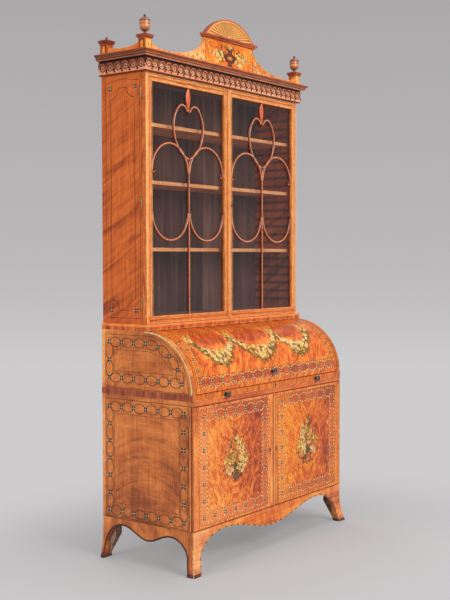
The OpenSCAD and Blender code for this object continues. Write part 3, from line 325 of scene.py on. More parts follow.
def inside(u, v, low_u, high_u, low_v, high_v):
    """How far inside a rectangle a point lies, and whether its nearest edge is an upright one."""
    du = (u - low_u).least(high_u - u)
    dv = (v - low_v).least(high_v - v)
    return du.least(dv), du < dv


def door_veneer():
    """Cupboard doors: a flame panel, paler on its left, in a ruddy band and a straight border."""
    f = Finish("door_veneer")
    u = abs(f.x)
    in_band, upright = inside(u, f.z, *OUTER_STRING)
    in_panel = inside(u, f.z, *INNER_STRING)[0] > 0
    p = f.x - f.x.math("SIGN") * (sum(INNER_STRING[:2]) / 2)
    lean = (p * p + 0.0009).root()
    across = lean * 0.88 - f.z * 0.47
    along = lean * 0.47 + f.z * 0.88
    right = f.x > 0
    flame = f.noise(across * 26 + right * 7, along * 9, 0.0, 4.0, 1.7)
    plume = f.noise(across * 96 + right * 7, along * 40, 2.0, 3.0, 1.0)
    fleck = f.noise(across * 150 + f.z * 30, along * 90, 6.0, 3.0, 0.9)
    fibres = f.noise(f.x * 260, f.z * 30, 0.0, 3.0)
    cloud = f.noise(f.x * 7 + right * 7, f.z * 6, 3.0)
    tone = flame * 0.8 + plume * 0.95 + fleck * 0.65 + fibres * 0.3 + cloud * 0.5 - p * 0.75 + 0.46
    panel = f.ramp(tone, SATINWOOD, 0.16, 0.88)
    cross = f.noise(choose(f.z, u, upright) * 18, choose(u, f.z, upright) * 190, 0.0, 3.0)
    band_tone = cross * 0.5 + cloud * 0.5 + flame * 0.25 - p * 0.5 - f.ease(f.z, 0.56, 0.69) * 0.14 + 0.62
    band = f.ramp(band_tone, RUDDY)
    streak = f.noise(f.x * 60, f.z * 5, 5.0, 3.0, 1.0)
    ripple = f.noise(f.x * 40, f.z * 70, 5.0, 2.0, 0.8)
    border = f.ramp(fibres * 0.5 + streak * 0.85 + ripple * 0.3 + cloud * 0.3 + 0.48, STRAIGHT)
    colour = f.mix(f.mix(border, band, in_band > 0), panel, in_panel)
    return f.polished(f.stain(colour, "fef79e", right), tone)


def desk_side_veneer():
    """Outer sides of the desk case: soft cross figure in the panel, a paler edge at the back, and a painted
    sheen across the panel's upper middle.
    """
    f = Finish("desk_side_veneer")
    in_panel = inside(f.y, f.z, FRONT_Y + 0.075, BACK_Y - 0.072, 0.258, 0.656)[0] > 0
    fibres = f.noise(f.y * 300, f.z * 14, f.x, 3.0)
    streak = f.noise(f.y * 46, f.z * 2.5, f.x, 3.0, 0.4)
    arcs = f.noise(f.y * 3 + 5, f.z * 34 + f.y * f.y * 60, f.x, 2.0, 0.6)
    ripple = f.noise(f.y * 16, f.z * 60, f.x, 3.0, 0.8)
    cloud = f.noise(f.y * 5, f.z * 5, f.x)
    # Painted sheen: a paler band across the upper middle of the panel, standing for a reflection.
    painted_sheen = f.ease(f.z, 0.42, 0.55) * f.fade(f.z, 0.6, 0.66) * in_panel
    back_edge = f.ease(f.y, BACK_Y - 0.03, BACK_Y - 0.012)
    tone = (fibres * 0.36 + streak * 0.22 + arcs * 0.34 + ripple * 0.28 + cloud * 0.6 + back_edge * 0.16
            + painted_sheen * 0.08 - in_panel * 0.03 + f.ease(f.z, 0.76, 0.85) * 0.05 + 0.42)
    return f.polished(f.ramp(tone, MELLOW), tone)


def book_side_veneer():
    """Tall sides of the bookcase: dark ribbons that rise towards the front, and painted shade in the shelf
    grooves inside.
    """
    f = Finish("book_side_veneer")
    slope = f.z + f.y * 0.55
    ribbon = f.noise(slope * 15, f.y * 2.2 + 4, f.x, 3.0, 0.7)
    ripple = f.noise(slope * 60, f.y * 9, f.x, 3.0, 0.6)
    gate = f.noise(f.z * 2.2, f.y * 2, f.x)
    fibres = f.noise(f.y * 240, f.z * 9, f.x, 3.0)
    streak = f.noise(f.y * 40, f.z * 1.6, f.x, 3.0, 0.4)
    dark = f.fade(ribbon, -0.18, 0.02) * f.ease(gate, -0.16, 0.04)
    tone = fibres * 0.4 + streak * 0.2 + ripple * 0.36 + gate * 0.3 - dark * 0.2 + 0.47
    colour = f.stain(f.ramp(tone, AGED), "fae8d0")
    depth = BOOK_HALF - abs(f.x)
    # Painted shade: the shelf grooves are darkened.
    groove_shade = (depth > 0.005) * (depth < 0.0195) * (f.y > BOOK_LOW.y + 0.002)
    return f.polished(f.mix(colour, "2e1a16", groove_shade * 0.5), tone)


def back_boards(name, half):
    """Upright boards of a back, each of its own tone, darker towards the inside as painted shade, and paler
    wood behind.
    """
    f = Finish(name)
    run = (f.x + half).math("DIVIDE", 2 * half / BACK_BOARDS)
    number, across = run.math("FLOOR"), run.math("FRACT")
    own = f.noise(number * 3.7 + 0.4, 0.0, 0.0, 0.0)
    rings = f.noise(f.z * 1.1 + number * 5, f.x * 20, number * 3, 3.0, 0.6)
    fibres = f.noise(f.z * 9, f.x * 260, f.y * 260, 3.0)
    tone = rings * 0.7 + fibres * 0.45 + own * 0.5 + 0.5
    joint = f.fade(across.least(1 - across), 0.004, 0.012)
    # Painted shade: all but the outer back face takes the darker palette.
    colour = f.mix(f.ramp(tone, PLAIN_IN_SHADE), f.ramp(tone, PLAIN), f.y > BACK_Y - 0.006)
    return f.polished(f.mix(colour, "281814", joint * 0.8), tone, 0.6, 0.0003, 0.0)


def fall_veneer():
    """The curved fall: golden plumes, ruddy between the hooks of its swags, painted shade over its top, which
    faces up, and a warm band for the chain.
    """
    f = Finish("fall_veneer")
    arc = (AXIS_Y - f.y).turn_to(f.z - DESK_Z) * FALL_R
    along = f.x * 0.5 - arc * 0.87
    across = f.x * 0.87 + arc * 0.5
    plume = f.noise(across * 20, along * 7, 0.0, 4.0, 1.5)
    flame = f.noise(across * 80, along * 24, 4.0, 3.0, 0.9)
    fleck = f.noise(across * 150, along * 60, 8.0, 3.0, 0.8)
    fibres = f.noise(f.x * 24, arc * 280, 0.0, 3.0)
    tone = plume * 0.9 + flame * 0.75 + fleck * 0.4 + fibres * 0.2 + 0.46
    colour = f.ramp(tone, SATINWOOD, 0.16, 0.88)
    # One darker tint serves both for the ruddy ground between the hooks and for the painted shade over the
    # top.
    shade = f.stain(colour, "d6a270")
    v = (arc - 0.135) * (1 / 0.066)
    spots = []
    for left, right in zip(HOOKS, HOOKS[1:]):
        u = (f.x - (left + right) / 2) * (1 / 0.13)
        spots.append(u * u + v * v)
    between_hooks = f.fade(spots[0].least(*spots[1:]) + plume * 0.9, 0.35, 1.25)
    colour = f.mix(colour, shade, between_hooks * 0.9)
    # Painted shade: the top of the fall, down to its upper strings, is darkened.
    colour = f.mix(colour, shade, f.fade(arc, 0.085, 0.1) * 0.7)
    ends = f.ramp(fibres * 0.5 + flame * 0.4 + 0.5, BANDED)
    colour = f.mix(colour, ends, (abs(f.x) > CHAIN_SIDE) * (arc < CHAIN_TOP))
    return f.polished(f.stain(colour, "f0d6c4", (arc > CHAIN_TOP) * (arc < CHAIN_FOOT)), tone)


def frame_veneer():
    """Stiles and rails of the glazed doors, straight-grained along their length and paler at the hinges."""
    f = Finish("frame_veneer")
    low_rail = f.z < PANE_LOW.z + REBATE
    rail = (f.z > PANE_HIGH.z - REBATE) + low_rail
    along, across = choose(f.z, f.x, rail), choose(f.x, f.z, rail)
    fibres = f.noise(along * 16, across * 300, f.y * 300, 3.0)
    streak = f.noise(along * 9, across * 90, f.y * 60, 3.0, 1.0)
    curl = f.noise(along * 60, across * 30, f.y * 10, 2.0, 0.8)
    outer = f.ease(abs(f.x), BOOK_HALF - 0.03, BOOK_HALF - 0.01)
    tone = fibres * 0.5 + streak * 0.6 + curl * 0.3 + outer * 0.12 + 0.46
    face = f.mix(f.ramp(tone, STILE), f.ramp(tone, STRAIGHT), low_rail)
    edge = f.ease(abs(f.x), BOOK_HALF - 0.0007, BOOK_HALF - 0.0003)
    return f.polished(f.mix(face, f.ramp(tone - 0.15, AGED), edge), tone)


def crossband(name, colours, line, flitches=0.6):
    """Colour and tone of a band of short upright flitches, with dark joints between them."""
    f = Finish(name)
    run = f.x + f.y
    flitch = f.noise(run * 34, 0.0, 0.0, 1.0)
    fibres = f.noise(run * 260, f.z * 16, 0.0, 3.0)
    joints = f.noise(run * 150, 7.0)
    tone = flitch * flitches + fibres * 0.7 + 0.52 - f.fade(joints, -0.16, -0.06) * line
    return f, f.ramp(tone, colours), tone


def banding(name, colours, line):
    f, colour, tone = crossband(name, colours, line)
    return f.polished(colour, tone)


def moulding_finish():
    """Moulding round the foot of the bookcase: crossbanded face under a pale straight bead."""
    f, band, tone = crossband("base_moulding", RUDDY, 0.25, 1.0)
    bead = f.ramp(tone * 0.5 + 0.28, STRAIGHT)
    return f.polished(f.mix(band, bead, f.z > MOULD_HIGH.z - 0.0125), tone)


def grained(f, low, high, contrast, bands):
    """Colours that follow the height of a moulding, under fine grain along its run."""
    run = f.x + f.y
    fibres = f.noise(run * 24, f.z * 420, 0.0, 3.0)
    cloud = f.noise(run * 14, f.z * 30, 3.0)
    tone = fibres * 0.6 + cloud * 0.5 + 0.5
    grey = 1.0 - contrast
    shade = f.ramp(tone, [(grey, grey * 0.94, grey * 0.9, 1.0), (1.0, 1.0, 1.0, 1.0)], 0.25, 0.65)
    return f.stain(f.levels(f.z, low, high, bands), shade), tone


def cornice_finish():
    """Mahogany cornice in bands up its profile, with painted highlights on its pale fillets, painted shade in
    its dark hollows, and painted shade on its sides.
    """
    f = Finish("cornice_mahogany")
    # Bands up the profile: the pale fillets are painted highlights, and the dark hollows and the cove at the
    # foot are painted shade.
    colour, tone = grained(
        f, CORNICE_LOW.z, CORNICE_HIGH.z, 0.5,
        "0 341c16, 0.23 4a261c, 0.26 ec9464, 0.34 ffbc92, 0.37 843a20, "
        "0.43 441c12, 0.5 964a28, 0.53 de7e4a, 0.6 de7e4a, 0.64 421c12, "
        "0.73 b25830, 0.84 4e2216, 0.88 d8723e, 1 e8864c")
    # Painted shade: the sides of the cornice are darker than its front.
    side = (abs(f.x) - CORNICE_HIGH.x) > (CORNICE_LOW.y - f.y)
    return f.polished(f.stain(colour, "cec2b6", side), tone, 0.3)


def frieze_finish():
    """The frieze: plain veneer over a dark bead, with painted shade darkening its upper part behind the
    arcade.
    """
    f = Finish("frieze_veneer")
    colour, tone = sawn(f, f.x + f.y, f.z, 0.0, BLUSH, 20.0, 0.3, 0.4)
    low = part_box("frieze")[0].z
    # Painted shade: the frieze is darker above its lower strip, behind the arcade and under the cornice.
    plain = f.stain(colour, "d8bcb2", f.z > low + 0.022)
    return f.polished(f.mix(f.stain(colour, "703e32"), plain, f.ease(f.z, low + 0.004, low + 0.007)), tone)


def arcade_finish():
    """Carved arches with pale rims and painted shade between them, over dark drops with a painted highlight,
    and painted shade on the sides.
    """
    f = Finish("arcade_wood")
    colour, tone = sawn(f, f.z, f.x + f.y, 0.0, BLUSH, 60.0, 0.2, 0.4)
    front = f.y < FRIEZE_Y
    run = choose(f.y - FRIEZE_Y, f.x + FRIEZE_HALF, front)
    pitch = choose(SIDE_PITCH, FRONT_PITCH, front)
    at = run.math("DIVIDE", pitch).math("FRACT") * pitch - pitch * 0.5
    up = f.z - ARCH_MIDDLE
    reach = (at * at + up * up).root()
    # Painted shade: the spandrels between the arch rims are darkened.
    rim = 1 - f.ease(reach, ARCH_OPEN + 0.002, ARCH_OPEN + 0.0034) * (up > 0)
    body = f.mix(f.stain(colour, "583428"), f.mix(colour, "ce7c50", 0.7), rim)
    # Painted light by height: the drops darkened at the foot, a pale ring across them as a painted highlight,
    # and a dark line above it.
    drops_dark_with_painted_highlight = f.levels(f.z, ARCADE_Z, CORNICE_LOW.z,
                   "0 462a22, 0.14 603c30, 0.19 fff0e2, 0.29 ffecdc, "
                   "0.33 8c6050, 0.38 fff4ec, 1 ffffff")
    # Painted shade: the sides are darker than the front.
    return f.polished(f.stain(body, f.stain(drops_dark_with_painted_highlight, "d6c0b2", 1 - front)), tone, 0.26, 0.00015, 0.5)


def turned_finish():
    """Urns: pinkish turned wood with dark rims and a paler waist."""
    f = Finish("turned_urn_wood")
    colour, tone = grained(
        f, URN_LOW.z, URN_HIGH.z, 0.35,
        "0 542e26, 0.06 be826a, 0.1 5c3226, 0.16 884a30, 0.3 b66c42, "
        "0.45 e29a62, 0.52 7c3e26, 0.55 dc945e, 0.64 aa623c, 0.67 42221c, "
        "0.72 c4805a, 0.77 5a3024, 0.86 a6644a, 0.9 4a2822, 1 78483c")
    return f.polished(colour, tone, 0.26, 0.00012, 0.5)


def pedestal_finish():
    """Satinwood pedestals under mahogany caps."""
    f = Finish("pedestal_wood")
    body, tone = sawn(f, f.z, f.x, f.y, RUDDY, 30.0, 0.2, 0.3)
    cap = f.stain(f.ramp(tone, MAHOGANY), "d6c4be")
    return f.polished(f.mix(body, cap, f.z > CROWN_Z + 0.0501), tone)


def foot_finish():
    """Feet and aprons: satinwood, paler to the ends of the front and darker on the sides, darker towards the
    floor and with a dark band at the very bottom.
    """
    f = Finish("foot_satinwood")
    plume = f.noise(f.x * 30 + f.z * 20, f.z * 60, f.y * 20, 4.0, 1.2)
    front, tone = sawn(f, f.x, f.z, f.y, SATINWOOD, 22.0, 0.35, 0.4, 2.0)
    paler = f.ramp(tone + plume * 0.4 + 0.02, PEACH)
    ends = f.ease(f.x * -1.0, 0.36, 0.6) * 0.9 + f.ease(f.x, 0.4, 0.66) * 0.5
    fibres = f.noise(f.z * 14, f.y * 260, f.x * 60, 3.0)
    cloud = f.noise(f.y * 16, f.z * 14, f.x * 4)
    aged = f.ramp(fibres * 0.6 + cloud * 0.6 + 0.4, MELLOW)
    side = ((abs(f.x) - CASE_HALF) > (FRONT_Y - f.y)) + (f.y > FRONT_Y + 0.06)
    colour = f.mix(f.mix(front, paler, ends), aged, side.least(1.0))
    # Darker towards the floor, and a dark band at the very bottom of the feet.
    scuff = f.noise(f.x * 90, f.y * 90, f.z * 60, 3.0)
    low_darkening = f.fade(f.z + scuff * 0.03, 0.01, 0.05)
    sole_band = f.fade(f.z + scuff * 0.006, 0.0125, 0.0145)
    dull = f.stain(colour, "c4aa9e", low_darkening * 0.8)
    return f.polished(f.mix(dull, "562e26", sole_band), tone)


def fan_finish():
    """Pale ribs with fine dark cuts, in a ruddy border that follows the arch, with painted shade on the
    arch's curved outer face.
    """
    f = Finish("fan_wood")
    up = f.z - (ARCH_HIGH.z - ARCH_R)
    reach = (f.x * f.x + up * up).root()
    turn = (f.z - ARCH_LOW.z).turn_to(f.x)
    cuts = (turn * 116.0).math("SINE")
    beads = (reach * 700.0 + abs(f.x) * 300.0).math("SINE")
    grain = f.noise(turn * 90, reach * 12, f.y * 40, 3.0)
    tone = cuts * 0.2 + beads * 0.06 + grain * 0.4 + 0.5
    ribs = f.ramp(tone, FANNED)
    border = f.ramp(grain * 0.8 + 0.55, RUDDY)
    colour = f.mix(ribs, "be6c2a", (f.y > FRIEZE_Y + 0.0025) * 0.9)
    colour = f.mix(colour, ribs, reach > ARCH_R - 0.0121)
    colour = f.mix(colour, border, reach > ARCH_R - 0.0065)
    # Painted shade on the curved outer face of the arch.
    colour = f.mix(colour, f.stain(border, "b28a80"), reach > ARCH_R - 0.0006)
    return f.polished(colour, tone, 0.4, 0.0002)


def marquetry_finish(name, roughness, dark_end):
    """Cut veneers, paint or turned work under polish: each piece has its own tint over fine grain."""
    f = Finish(name)
    tint = f.node("ShaderNodeVertexColor", {"layer_name": "tint"}, out="Color")
    tone = f.even_noise(500, 3.0) * 0.7 + f.even_noise(60) * 0.6 + 0.5
    shade = f.ramp(tone, ["b29e8a", "fffcf6"], dark_end, 0.6)
    return f.polished(f.stain(tint, shade), tone, roughness, 0.00005)


def metal(name, colours, roughness, wear, bare=1.0):
    """Cast and turned metal, dull where it isn't touched. A low bare share means old lacquer over it."""
    f = Finish(name)
    scratch = f.noise(f.x * 900, f.y * 900, f.z * 240)
    tone = f.even_noise(120, 4.0, 0.3) * wear + scratch * 0.3 + 0.5
    return f.polished(f.ramp(tone, colours), tone, roughness, 0.00008, 0.0, bare)


def leather_finish():
    """Green writing leather with fine pebbled grain and a gilt line round it."""
    f = Finish("writing_leather")
    grain = f.node("ShaderNodeTexVoronoi", {"feature": "F1"}, {
        "Vector": f.point(f.x * 420, f.y * 420, f.z * 420), "Scale": 1.0})
    tone = f.even_noise(9, 3.0) * 0.8 + (grain - 0.4) * 0.2 + 0.5
    reach = inside(abs(f.x), f.y, -1.0, 0.462, SLIDE_LOW.y + 0.066, SLIDE_LOW.y + 0.364)[0]
    gilt = (reach > 0) * (reach < 0.0022)
    return f.polished(f.mix(f.ramp(tone, LEATHER), "cea054", gilt), grain, 0.5, 0.0002, 0.0)


def glass_finish():
    """Old window glass: almost clear, a little wavy, with soft mirror light."""
    f = Finish("old_glass")
    wave = f.noise(f.x * 9, f.y * 9, f.z * 5)
    normal = f.node("ShaderNodeBump", inputs={"Strength": 0.3, "Distance": 0.001, "Height": wave})
    slant = f.node("ShaderNodeLayerWeight", inputs={"Blend": 0.5}, out="Facing")
    mirror = slant.math("POWER", 4.0) * 0.8 + 0.028
    clear = f.node("ShaderNodeBsdfTransparent", inputs={"Color": "f9fbfb"})
    sheen = f.node("ShaderNodeBsdfPrincipled", inputs={
        "Base Color": "d6d8dc", "Roughness": 0.04, "Metallic": 1.0, "Normal": normal})
    return f.show(f.node("ShaderNodeMixShader", inputs={0: mirror, 1: clear, 2: sheen}))


MARQUETRY = marquetry_finish("marquetry", 0.4, 0.3)
MOULDED_BARS = marquetry_finish("moulded_bars", 0.28, 0.2)

# Each finish, with the nodes that wear it
DRESS = (
    (wood("satinwood_across", SATINWOOD, 16, 0.35, 0.4), "nest_valances"),
    (wood("rail_satinwood", RUDDY, 24, 0.35, 0.4), "door_rail"),
    (wood("aged_satinwood", AGED, 26, 0.5, 0.6, upright=True), "gallery_boards"),
    (wood("golden_satinwood", GOLDEN, 12, 0.4, 0.6),
     "pediment_tablet nest_partitions desk_top drawer_1 drawer_2 drawer_3 drawer_4"),
    (wood("scroll_satinwood", APRICOT, 22, 0.4, 0.6), "scroll_boards"),
    (wood("shelf_satinwood", PEACH, 22, 0.3, 0.4), "bookcase_shelves"),
    (wood("mahogany_across", MAHOGANY, 30, 0.2, 0.3, 0.3), "pediment_cap tracery_left tracery_right"),
    (wood("carcass_across", PLAIN, 18, 0.1, 0.4, 0.6, 0.0),
     "desk_bottom cupboard_shelf dust_board slide_runners nest_case "
     "bookcase_plinth bookcase_bottom bookcase_top cornice_board"),
    (wood("rough_blocks", ROUGH, 60, 0.6, 0.8, 0.8, 0.0, upright=True), "foot_blocks"),
    (back_boards("desk_back_boards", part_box("desk_back")[1].x), "desk_back"),
    (back_boards("bookcase_back_boards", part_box("bookcase_back")[1].x), "bookcase_back"),
    (foot_finish(), "apron_front front_feet apron_sides back_feet"),
    (door_veneer(), "cupboard_door_left cupboard_door_right"),
    (desk_side_veneer(), "desk_sides"),
    (book_side_veneer(), "bookcase_sides"),
    (fall_veneer(), "fall"),
    (frame_veneer(), "glazed_frame_left glazed_frame_right"),
    (banding("slide_crossband", BANDED, 0.3), "writing_slide"),
    (banding("waist_crossband", PURPLE, 0.2), "waist_bands"),
    (moulding_finish(), "waist_moulding"),
    (cornice_finish(), "cornice"),
    (frieze_finish(), "frieze"),
    (arcade_finish(), "frieze_arcade"),
    (turned_finish(), "urns"),
    (pedestal_finish(), "pedestals"),
    (fan_finish(), "pediment_arch"),
    (metal("aged_brass", BRASS, 0.36, 0.9, 0.7),
     "case_hinges glazed_hinges_left glazed_hinges_right cupboard_hinges_left cupboard_hinges_right "
     "fall_pivots fall_arms"),
    (metal("lacquered_brass", LACQUERED, 0.3, 0.5, 0.2), "cupboard_bead"),
    (metal("dark_metal", BRONZE, 0.2, 0.7), "slide_knobs fall_knob"),
    (leather_finish(), "slide_leather"),
    (glass_finish(), "glazed_pane_left glazed_pane_right"),
)

for finish, wearers in DRESS:
    for name in wearers.split():
        nodes[name].data.materials.clear()
        nodes[name].data.materials.append(finish)


def polar(u, v, r, a):
    """The point at a distance and an angle from (u, v)."""
    return u + r * cos(a), v + r * sin(a)


def turned_about(u, v, points, turn):
    """Points turned by an angle and moved to (u, v)."""
    c, s = cos(turn), sin(turn)
    return [(u + p * c - q * s, v + p * s + q * c) for p, q in points]


def walk(start, end, step=None):
    """Points from start to end, no further apart than a step."""
    n = max(1, ceil(dist(start, end) / step)) if step else 1
    return [(start[0] + (end[0] - start[0]) * i / n, start[1] + (end[1] - start[1]) * i / n)
            for i in range(n + 1)]


def round_outline(u, v, a, b, n, turn=0.0):
    """An ellipse of n points with its half widths a and b."""
    circle = [tau * i / n for i in range(n)]
    return turned_about(u, v, [(a * cos(t), b * sin(t)) for t in circle], turn)


def leaf_outline(root, turn, length, width):
    """A pointed leaf that grows from its root, widest before the middle."""
    n = 4
    side = [(length * i / n, width / 2 * sin(pi * (i / n) ** 0.8)) for i in range(n + 1)]
    return turned_about(*root, side + [(p, -q) for p, q in reversed(side[1:-1])], turn)


def plain_outline(u, v, half_u, half_v):
    """A rectangle about (u, v)."""
    return [(u + p * half_u, v + q * half_v) for p, q in ((-1, -1), (1, -1), (1, 1), (-1, 1))]


def arc_line(u, v, r, start, end, step=4.0):
    """Points of an arc about (u, v), with its angles in degrees."""
    n = max(2, ceil(abs(end - start) / step))
    return [polar(u, v, r, radians(start + (end - start) * i / n)) for i in range(n + 1)]


def ring_of(u0, u1, v0, v1, across, up):
    """Corner to corner points round a rectangle, with that many steps each way."""
    us = [u0 + (u1 - u0) * i / across for i in range(across + 1)]
    vs = [v0 + (v1 - v0) * i / up for i in range(up + 1)]
    return ([(u, v0) for u in us] + [(u1, v) for v in vs[1:]]
            + [(u, v1) for u in reversed(us[:-1])] + [(u0, v) for v in reversed(vs[:-1])])


def placed(name, mesh):
    """An object of the scene that holds a mesh, a lamp or a camera."""
    piece = bpy.data.objects.new(name, mesh)
    bpy.context.scene.collection.objects.link(piece)
    return piece


class Marquetry:
    """Thin closed plates and strings on one surface, which place(u, v, lift) puts where they lie."""

    def __init__(self, name, body, place, finish=MARQUETRY):
        self.name = name
        self.body = body
        self.place = place
        self.finish = finish
        self.points = []
        self.faces = []
        self.tints = []
        self.plates = 0

    def lift(self):
        """Height of the next plate, so that each one lies a layer above the last."""
        self.plates = (self.plates + 1) % LAYERS
        return LIFT + LAYER * self.plates

    def face(self, corners, *tints):
        """A face with one tint for all its corners, or one for each."""
        self.faces.append(corners)
        self.tints.extend(tints if len(tints) > 1 else tints * len(corners))

    def plate(self, outline, edge, middle=None):
        """A plate with a rounded outline, shaded from its middle to its edge."""
        n = len(outline)
        top = len(self.points)
        lift = self.lift()
        self.points += [self.place(u, v, lift) for u, v in outline]
        self.points += [self.place(u, v, -SINK) for u, v in outline]
        centre = [sum(p[i] for p in outline) / n for i in (0, 1)]
        self.points.append(self.place(*centre, lift))
        for i in range(n):
            j = (i + 1) % n
            self.face([top + i, top + j, top + 2 * n], edge, edge, middle or edge)
            self.face([top + i, top + n + i, top + n + j, top + j], edge)
        self.face([top + n + i for i in reversed(range(n))], edge)

    def sweep(self, line, section, tints, closed=False, scale=None, strips=None):
        """A section of (across, lift) corners carried along a line, tinted along it or by its strips."""
        n, k, top = len(line), len(section), len(self.points)
        for i, (u, v) in enumerate(line):
            before = line[i - 1] if i or closed else line[i]
            after = line[(i + 1) % n] if i < n - 1 or closed else line[i]
            du, dv = after[0] - before[0], after[1] - before[1]
            size = (hypot(du, dv) or 1.0) / (scale[i] if scale else 1.0)
            self.points += [self.place(u - dv / size * a, v + du / size * a, b) for a, b in section]
        for i in range(n if closed else n - 1):
            a, b = top + k * i, top + k * ((i + 1) % n)
            for j in range(k):
                m = (j + 1) % k
                strip = strips[j] if strips else None
                self.face([a + j, b + j, b + m, a + m], strip or tints[i % len(tints)])
        if not closed:
            last = top + k * (n - 1)
            self.face([top + j for j in range(k)], tints[0])
            self.face([last + j for j in reversed(range(k))], tints[0])

    def string(self, line, width, tints, closed=False):
        """A thin flat string along a line."""
        half, lift = width / 2, self.lift()
        self.sweep(line, [(half, lift), (-half, lift), (-half, -SINK), (half, -SINK)], tints, closed)

    def box(self, u0, u1, v0, v1, width, tints, step=None):
        """A string round a rectangle."""
        half = width / 2
        for u in (u0, u1):
            self.string(walk((u, v0 - half), (u, v1 + half), step), width, tints)
        for v in (v0, v1):
            self.string(walk((u0 + half, v), (u1 - half, v), step), width, tints)

    def turned(self, u, v, profile, tint, top_tint, n=14):
        """A turned boss that stands on the surface, from (radius, lift) steps."""
        base = len(self.points)
        for r, lift in profile:
            self.points += [self.place(*polar(u, v, r, tau * i / n), lift) for i in range(n)]
        for ring in range(len(profile) - 1):
            a, b = base + ring * n, base + (ring + 1) * n
            for i in range(n):
                j = (i + 1) % n
                self.face([a + i, a + j, b + j, b + i], top_tint if ring % 2 else tint)
        self.face([base + i for i in reversed(range(n))], tint)
        self.face([base + (len(profile) - 1) * n + i for i in range(n)], top_tint)

    def quatrefoil(self, u, v, size, arm=0.19):
        """Four dark petals between the arms of a thin pale cross, as at each joint of the chain."""
        self.plates = LAYERS // 2
        petal = size * 0.52
        for turn in (45, 135, 225, 315):
            middle = polar(u, v, size * 0.6, radians(turn))
            self.plate(round_outline(*middle, petal, petal, 8, radians(22.5)), "221614")
        for turn in (0, 90, 180, 270):
            self.plate(leaf_outline((u, v), radians(turn), size * 1.1, size * arm), "fae8c4")

    def chain(self, line, gap, half, tints, width, ground=None, rim=None):
        """Ovals between the points of a line, on a ground of their own and inside a thin second outline."""
        self.plates = 0
        steps, rim_gap = 44, 0.0052
        for (u0, v0), (u1, v1) in zip(line, line[1:]):
            turn = atan2(v1 - v0, u1 - u0)
            u, v, a = (u0 + u1) / 2, (v0 + v1) / 2, hypot(u1 - u0, v1 - v0) / 2 - gap
            oval = round_outline(u, v, a, half, steps, turn)
            self.plates %= LAYERS // 3
            if ground:
                self.plate(oval, ground[self.plates % len(ground)])
            if rim:
                outer = round_outline(u, v, a + gap * 0.7, half + rim_gap, steps, turn)
                self.string(outer, 0.0012, [rim], closed=True)
            self.string(oval, width, tints, closed=True)

    def leaf(self, root, turn, length, width, tint, tip):
        self.plate(leaf_outline(root, turn, length, width), tint, tip)

    def blossom(self, u, v, size, tints, turn=0.0, petals=5):
        """A flower: a dark ground, a ring of petals and a heart."""
        edge, middle, heart = tints
        self.plate(round_outline(u, v, size * 0.98, size * 0.98, 9, turn), AMBER)
        for i in range(petals):
            a = turn + tau * i / petals
            petal = round_outline(*polar(u, v, size * 0.52, a), size * 0.46, size * 0.4, 7, a)
            self.plate(petal, edge, middle)
        self.plate(round_outline(u, v, size * 0.26, size * 0.26, 6), heart)

    def keyhole(self, u, v, size):
        """A small inlaid plate with a keyhole, whose hole is drawn as black plates for painted shade."""
        self.plate(round_outline(u, v, size * 0.62, size, 14), UMBER, AMBER)
        # Painted shade: the hole is drawn as black plates, not cut.
        self.plate(round_outline(u, v + size * 0.25, size * 0.24, size * 0.24, 8), EBONY)
        self.plate(plain_outline(u, v - size * 0.175, size * 0.1, size * 0.375), EBONY)

    def lay(self, smooth=False):
        """Makes the mesh object and lets it ride on its body."""
        mesh = bpy.data.meshes.new(self.name)
        mesh.from_pydata(self.points, [], self.faces)
        layer = mesh.color_attributes.new("tint", "FLOAT_COLOR", "CORNER")
        colours = {tint: srgb(tint) for tint in self.tints}
        layer.data.foreach_set("color", [c for tint in self.tints for c in colours[tint]])
        outward = bmesh.new()
        outward.from_mesh(mesh)
        bmesh.ops.recalc_face_normals(outward, faces=outward.faces)
        outward.to_mesh(mesh)
        outward.free()
        if smooth:
            mesh.polygons.foreach_set("use_smooth", [True] * len(mesh.polygons))
            mesh.set_sharp_from_angle(angle=radians(50))
        mesh.materials.append(self.finish)
        piece = placed(self.name, mesh)
        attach(piece, self.body)
        return piece


def on_front(depth):
    """Places on an upright face that looks forward: u is X and v is Z."""
    return lambda u, v, lift: (u, depth - lift, v)


def on_side(side, reach):
    """Places on an upright face at the left or the right: u is Y and v is Z."""
    return lambda u, v, lift: (side * (reach + lift), u, v)


def on_fall(u, v, lift):
    """Places on the closed fall: u is X, and v is the way down it from its top, taken as negative."""
    a = -v / FALL_R
    r = FALL_R + lift
    return (u, AXIS_Y - r * sin(a), DESK_Z + r * cos(a))


def stem(m, dice, start, turn, length, curve, leaves, tints=(MOSS, OLIVE, UMBER)):
    """A curved stem with leaves on both sides. Gives its end point."""
    n = 10
    line = [start]
    for i in range(n):
        turn += curve / n
        line.append(polar(*line[-1], length / n, turn))
    m.string(line, 0.0018, [tints[0]])
    for i in range(leaves):
        at = line[1 + round((n - 1) * (i + 0.6) / leaves)]
        way = turn - curve * (1 - i / leaves) + (0.9 if i % 2 else -0.9) + dice.uniform(-0.3, 0.3)
        m.leaf(at, way, dice.uniform(0.012, 0.02), dice.uniform(0.006, 0.01),
               dice.choice(tints), dice.choice([OLIVE, OCHRE]))
    return line[-1]


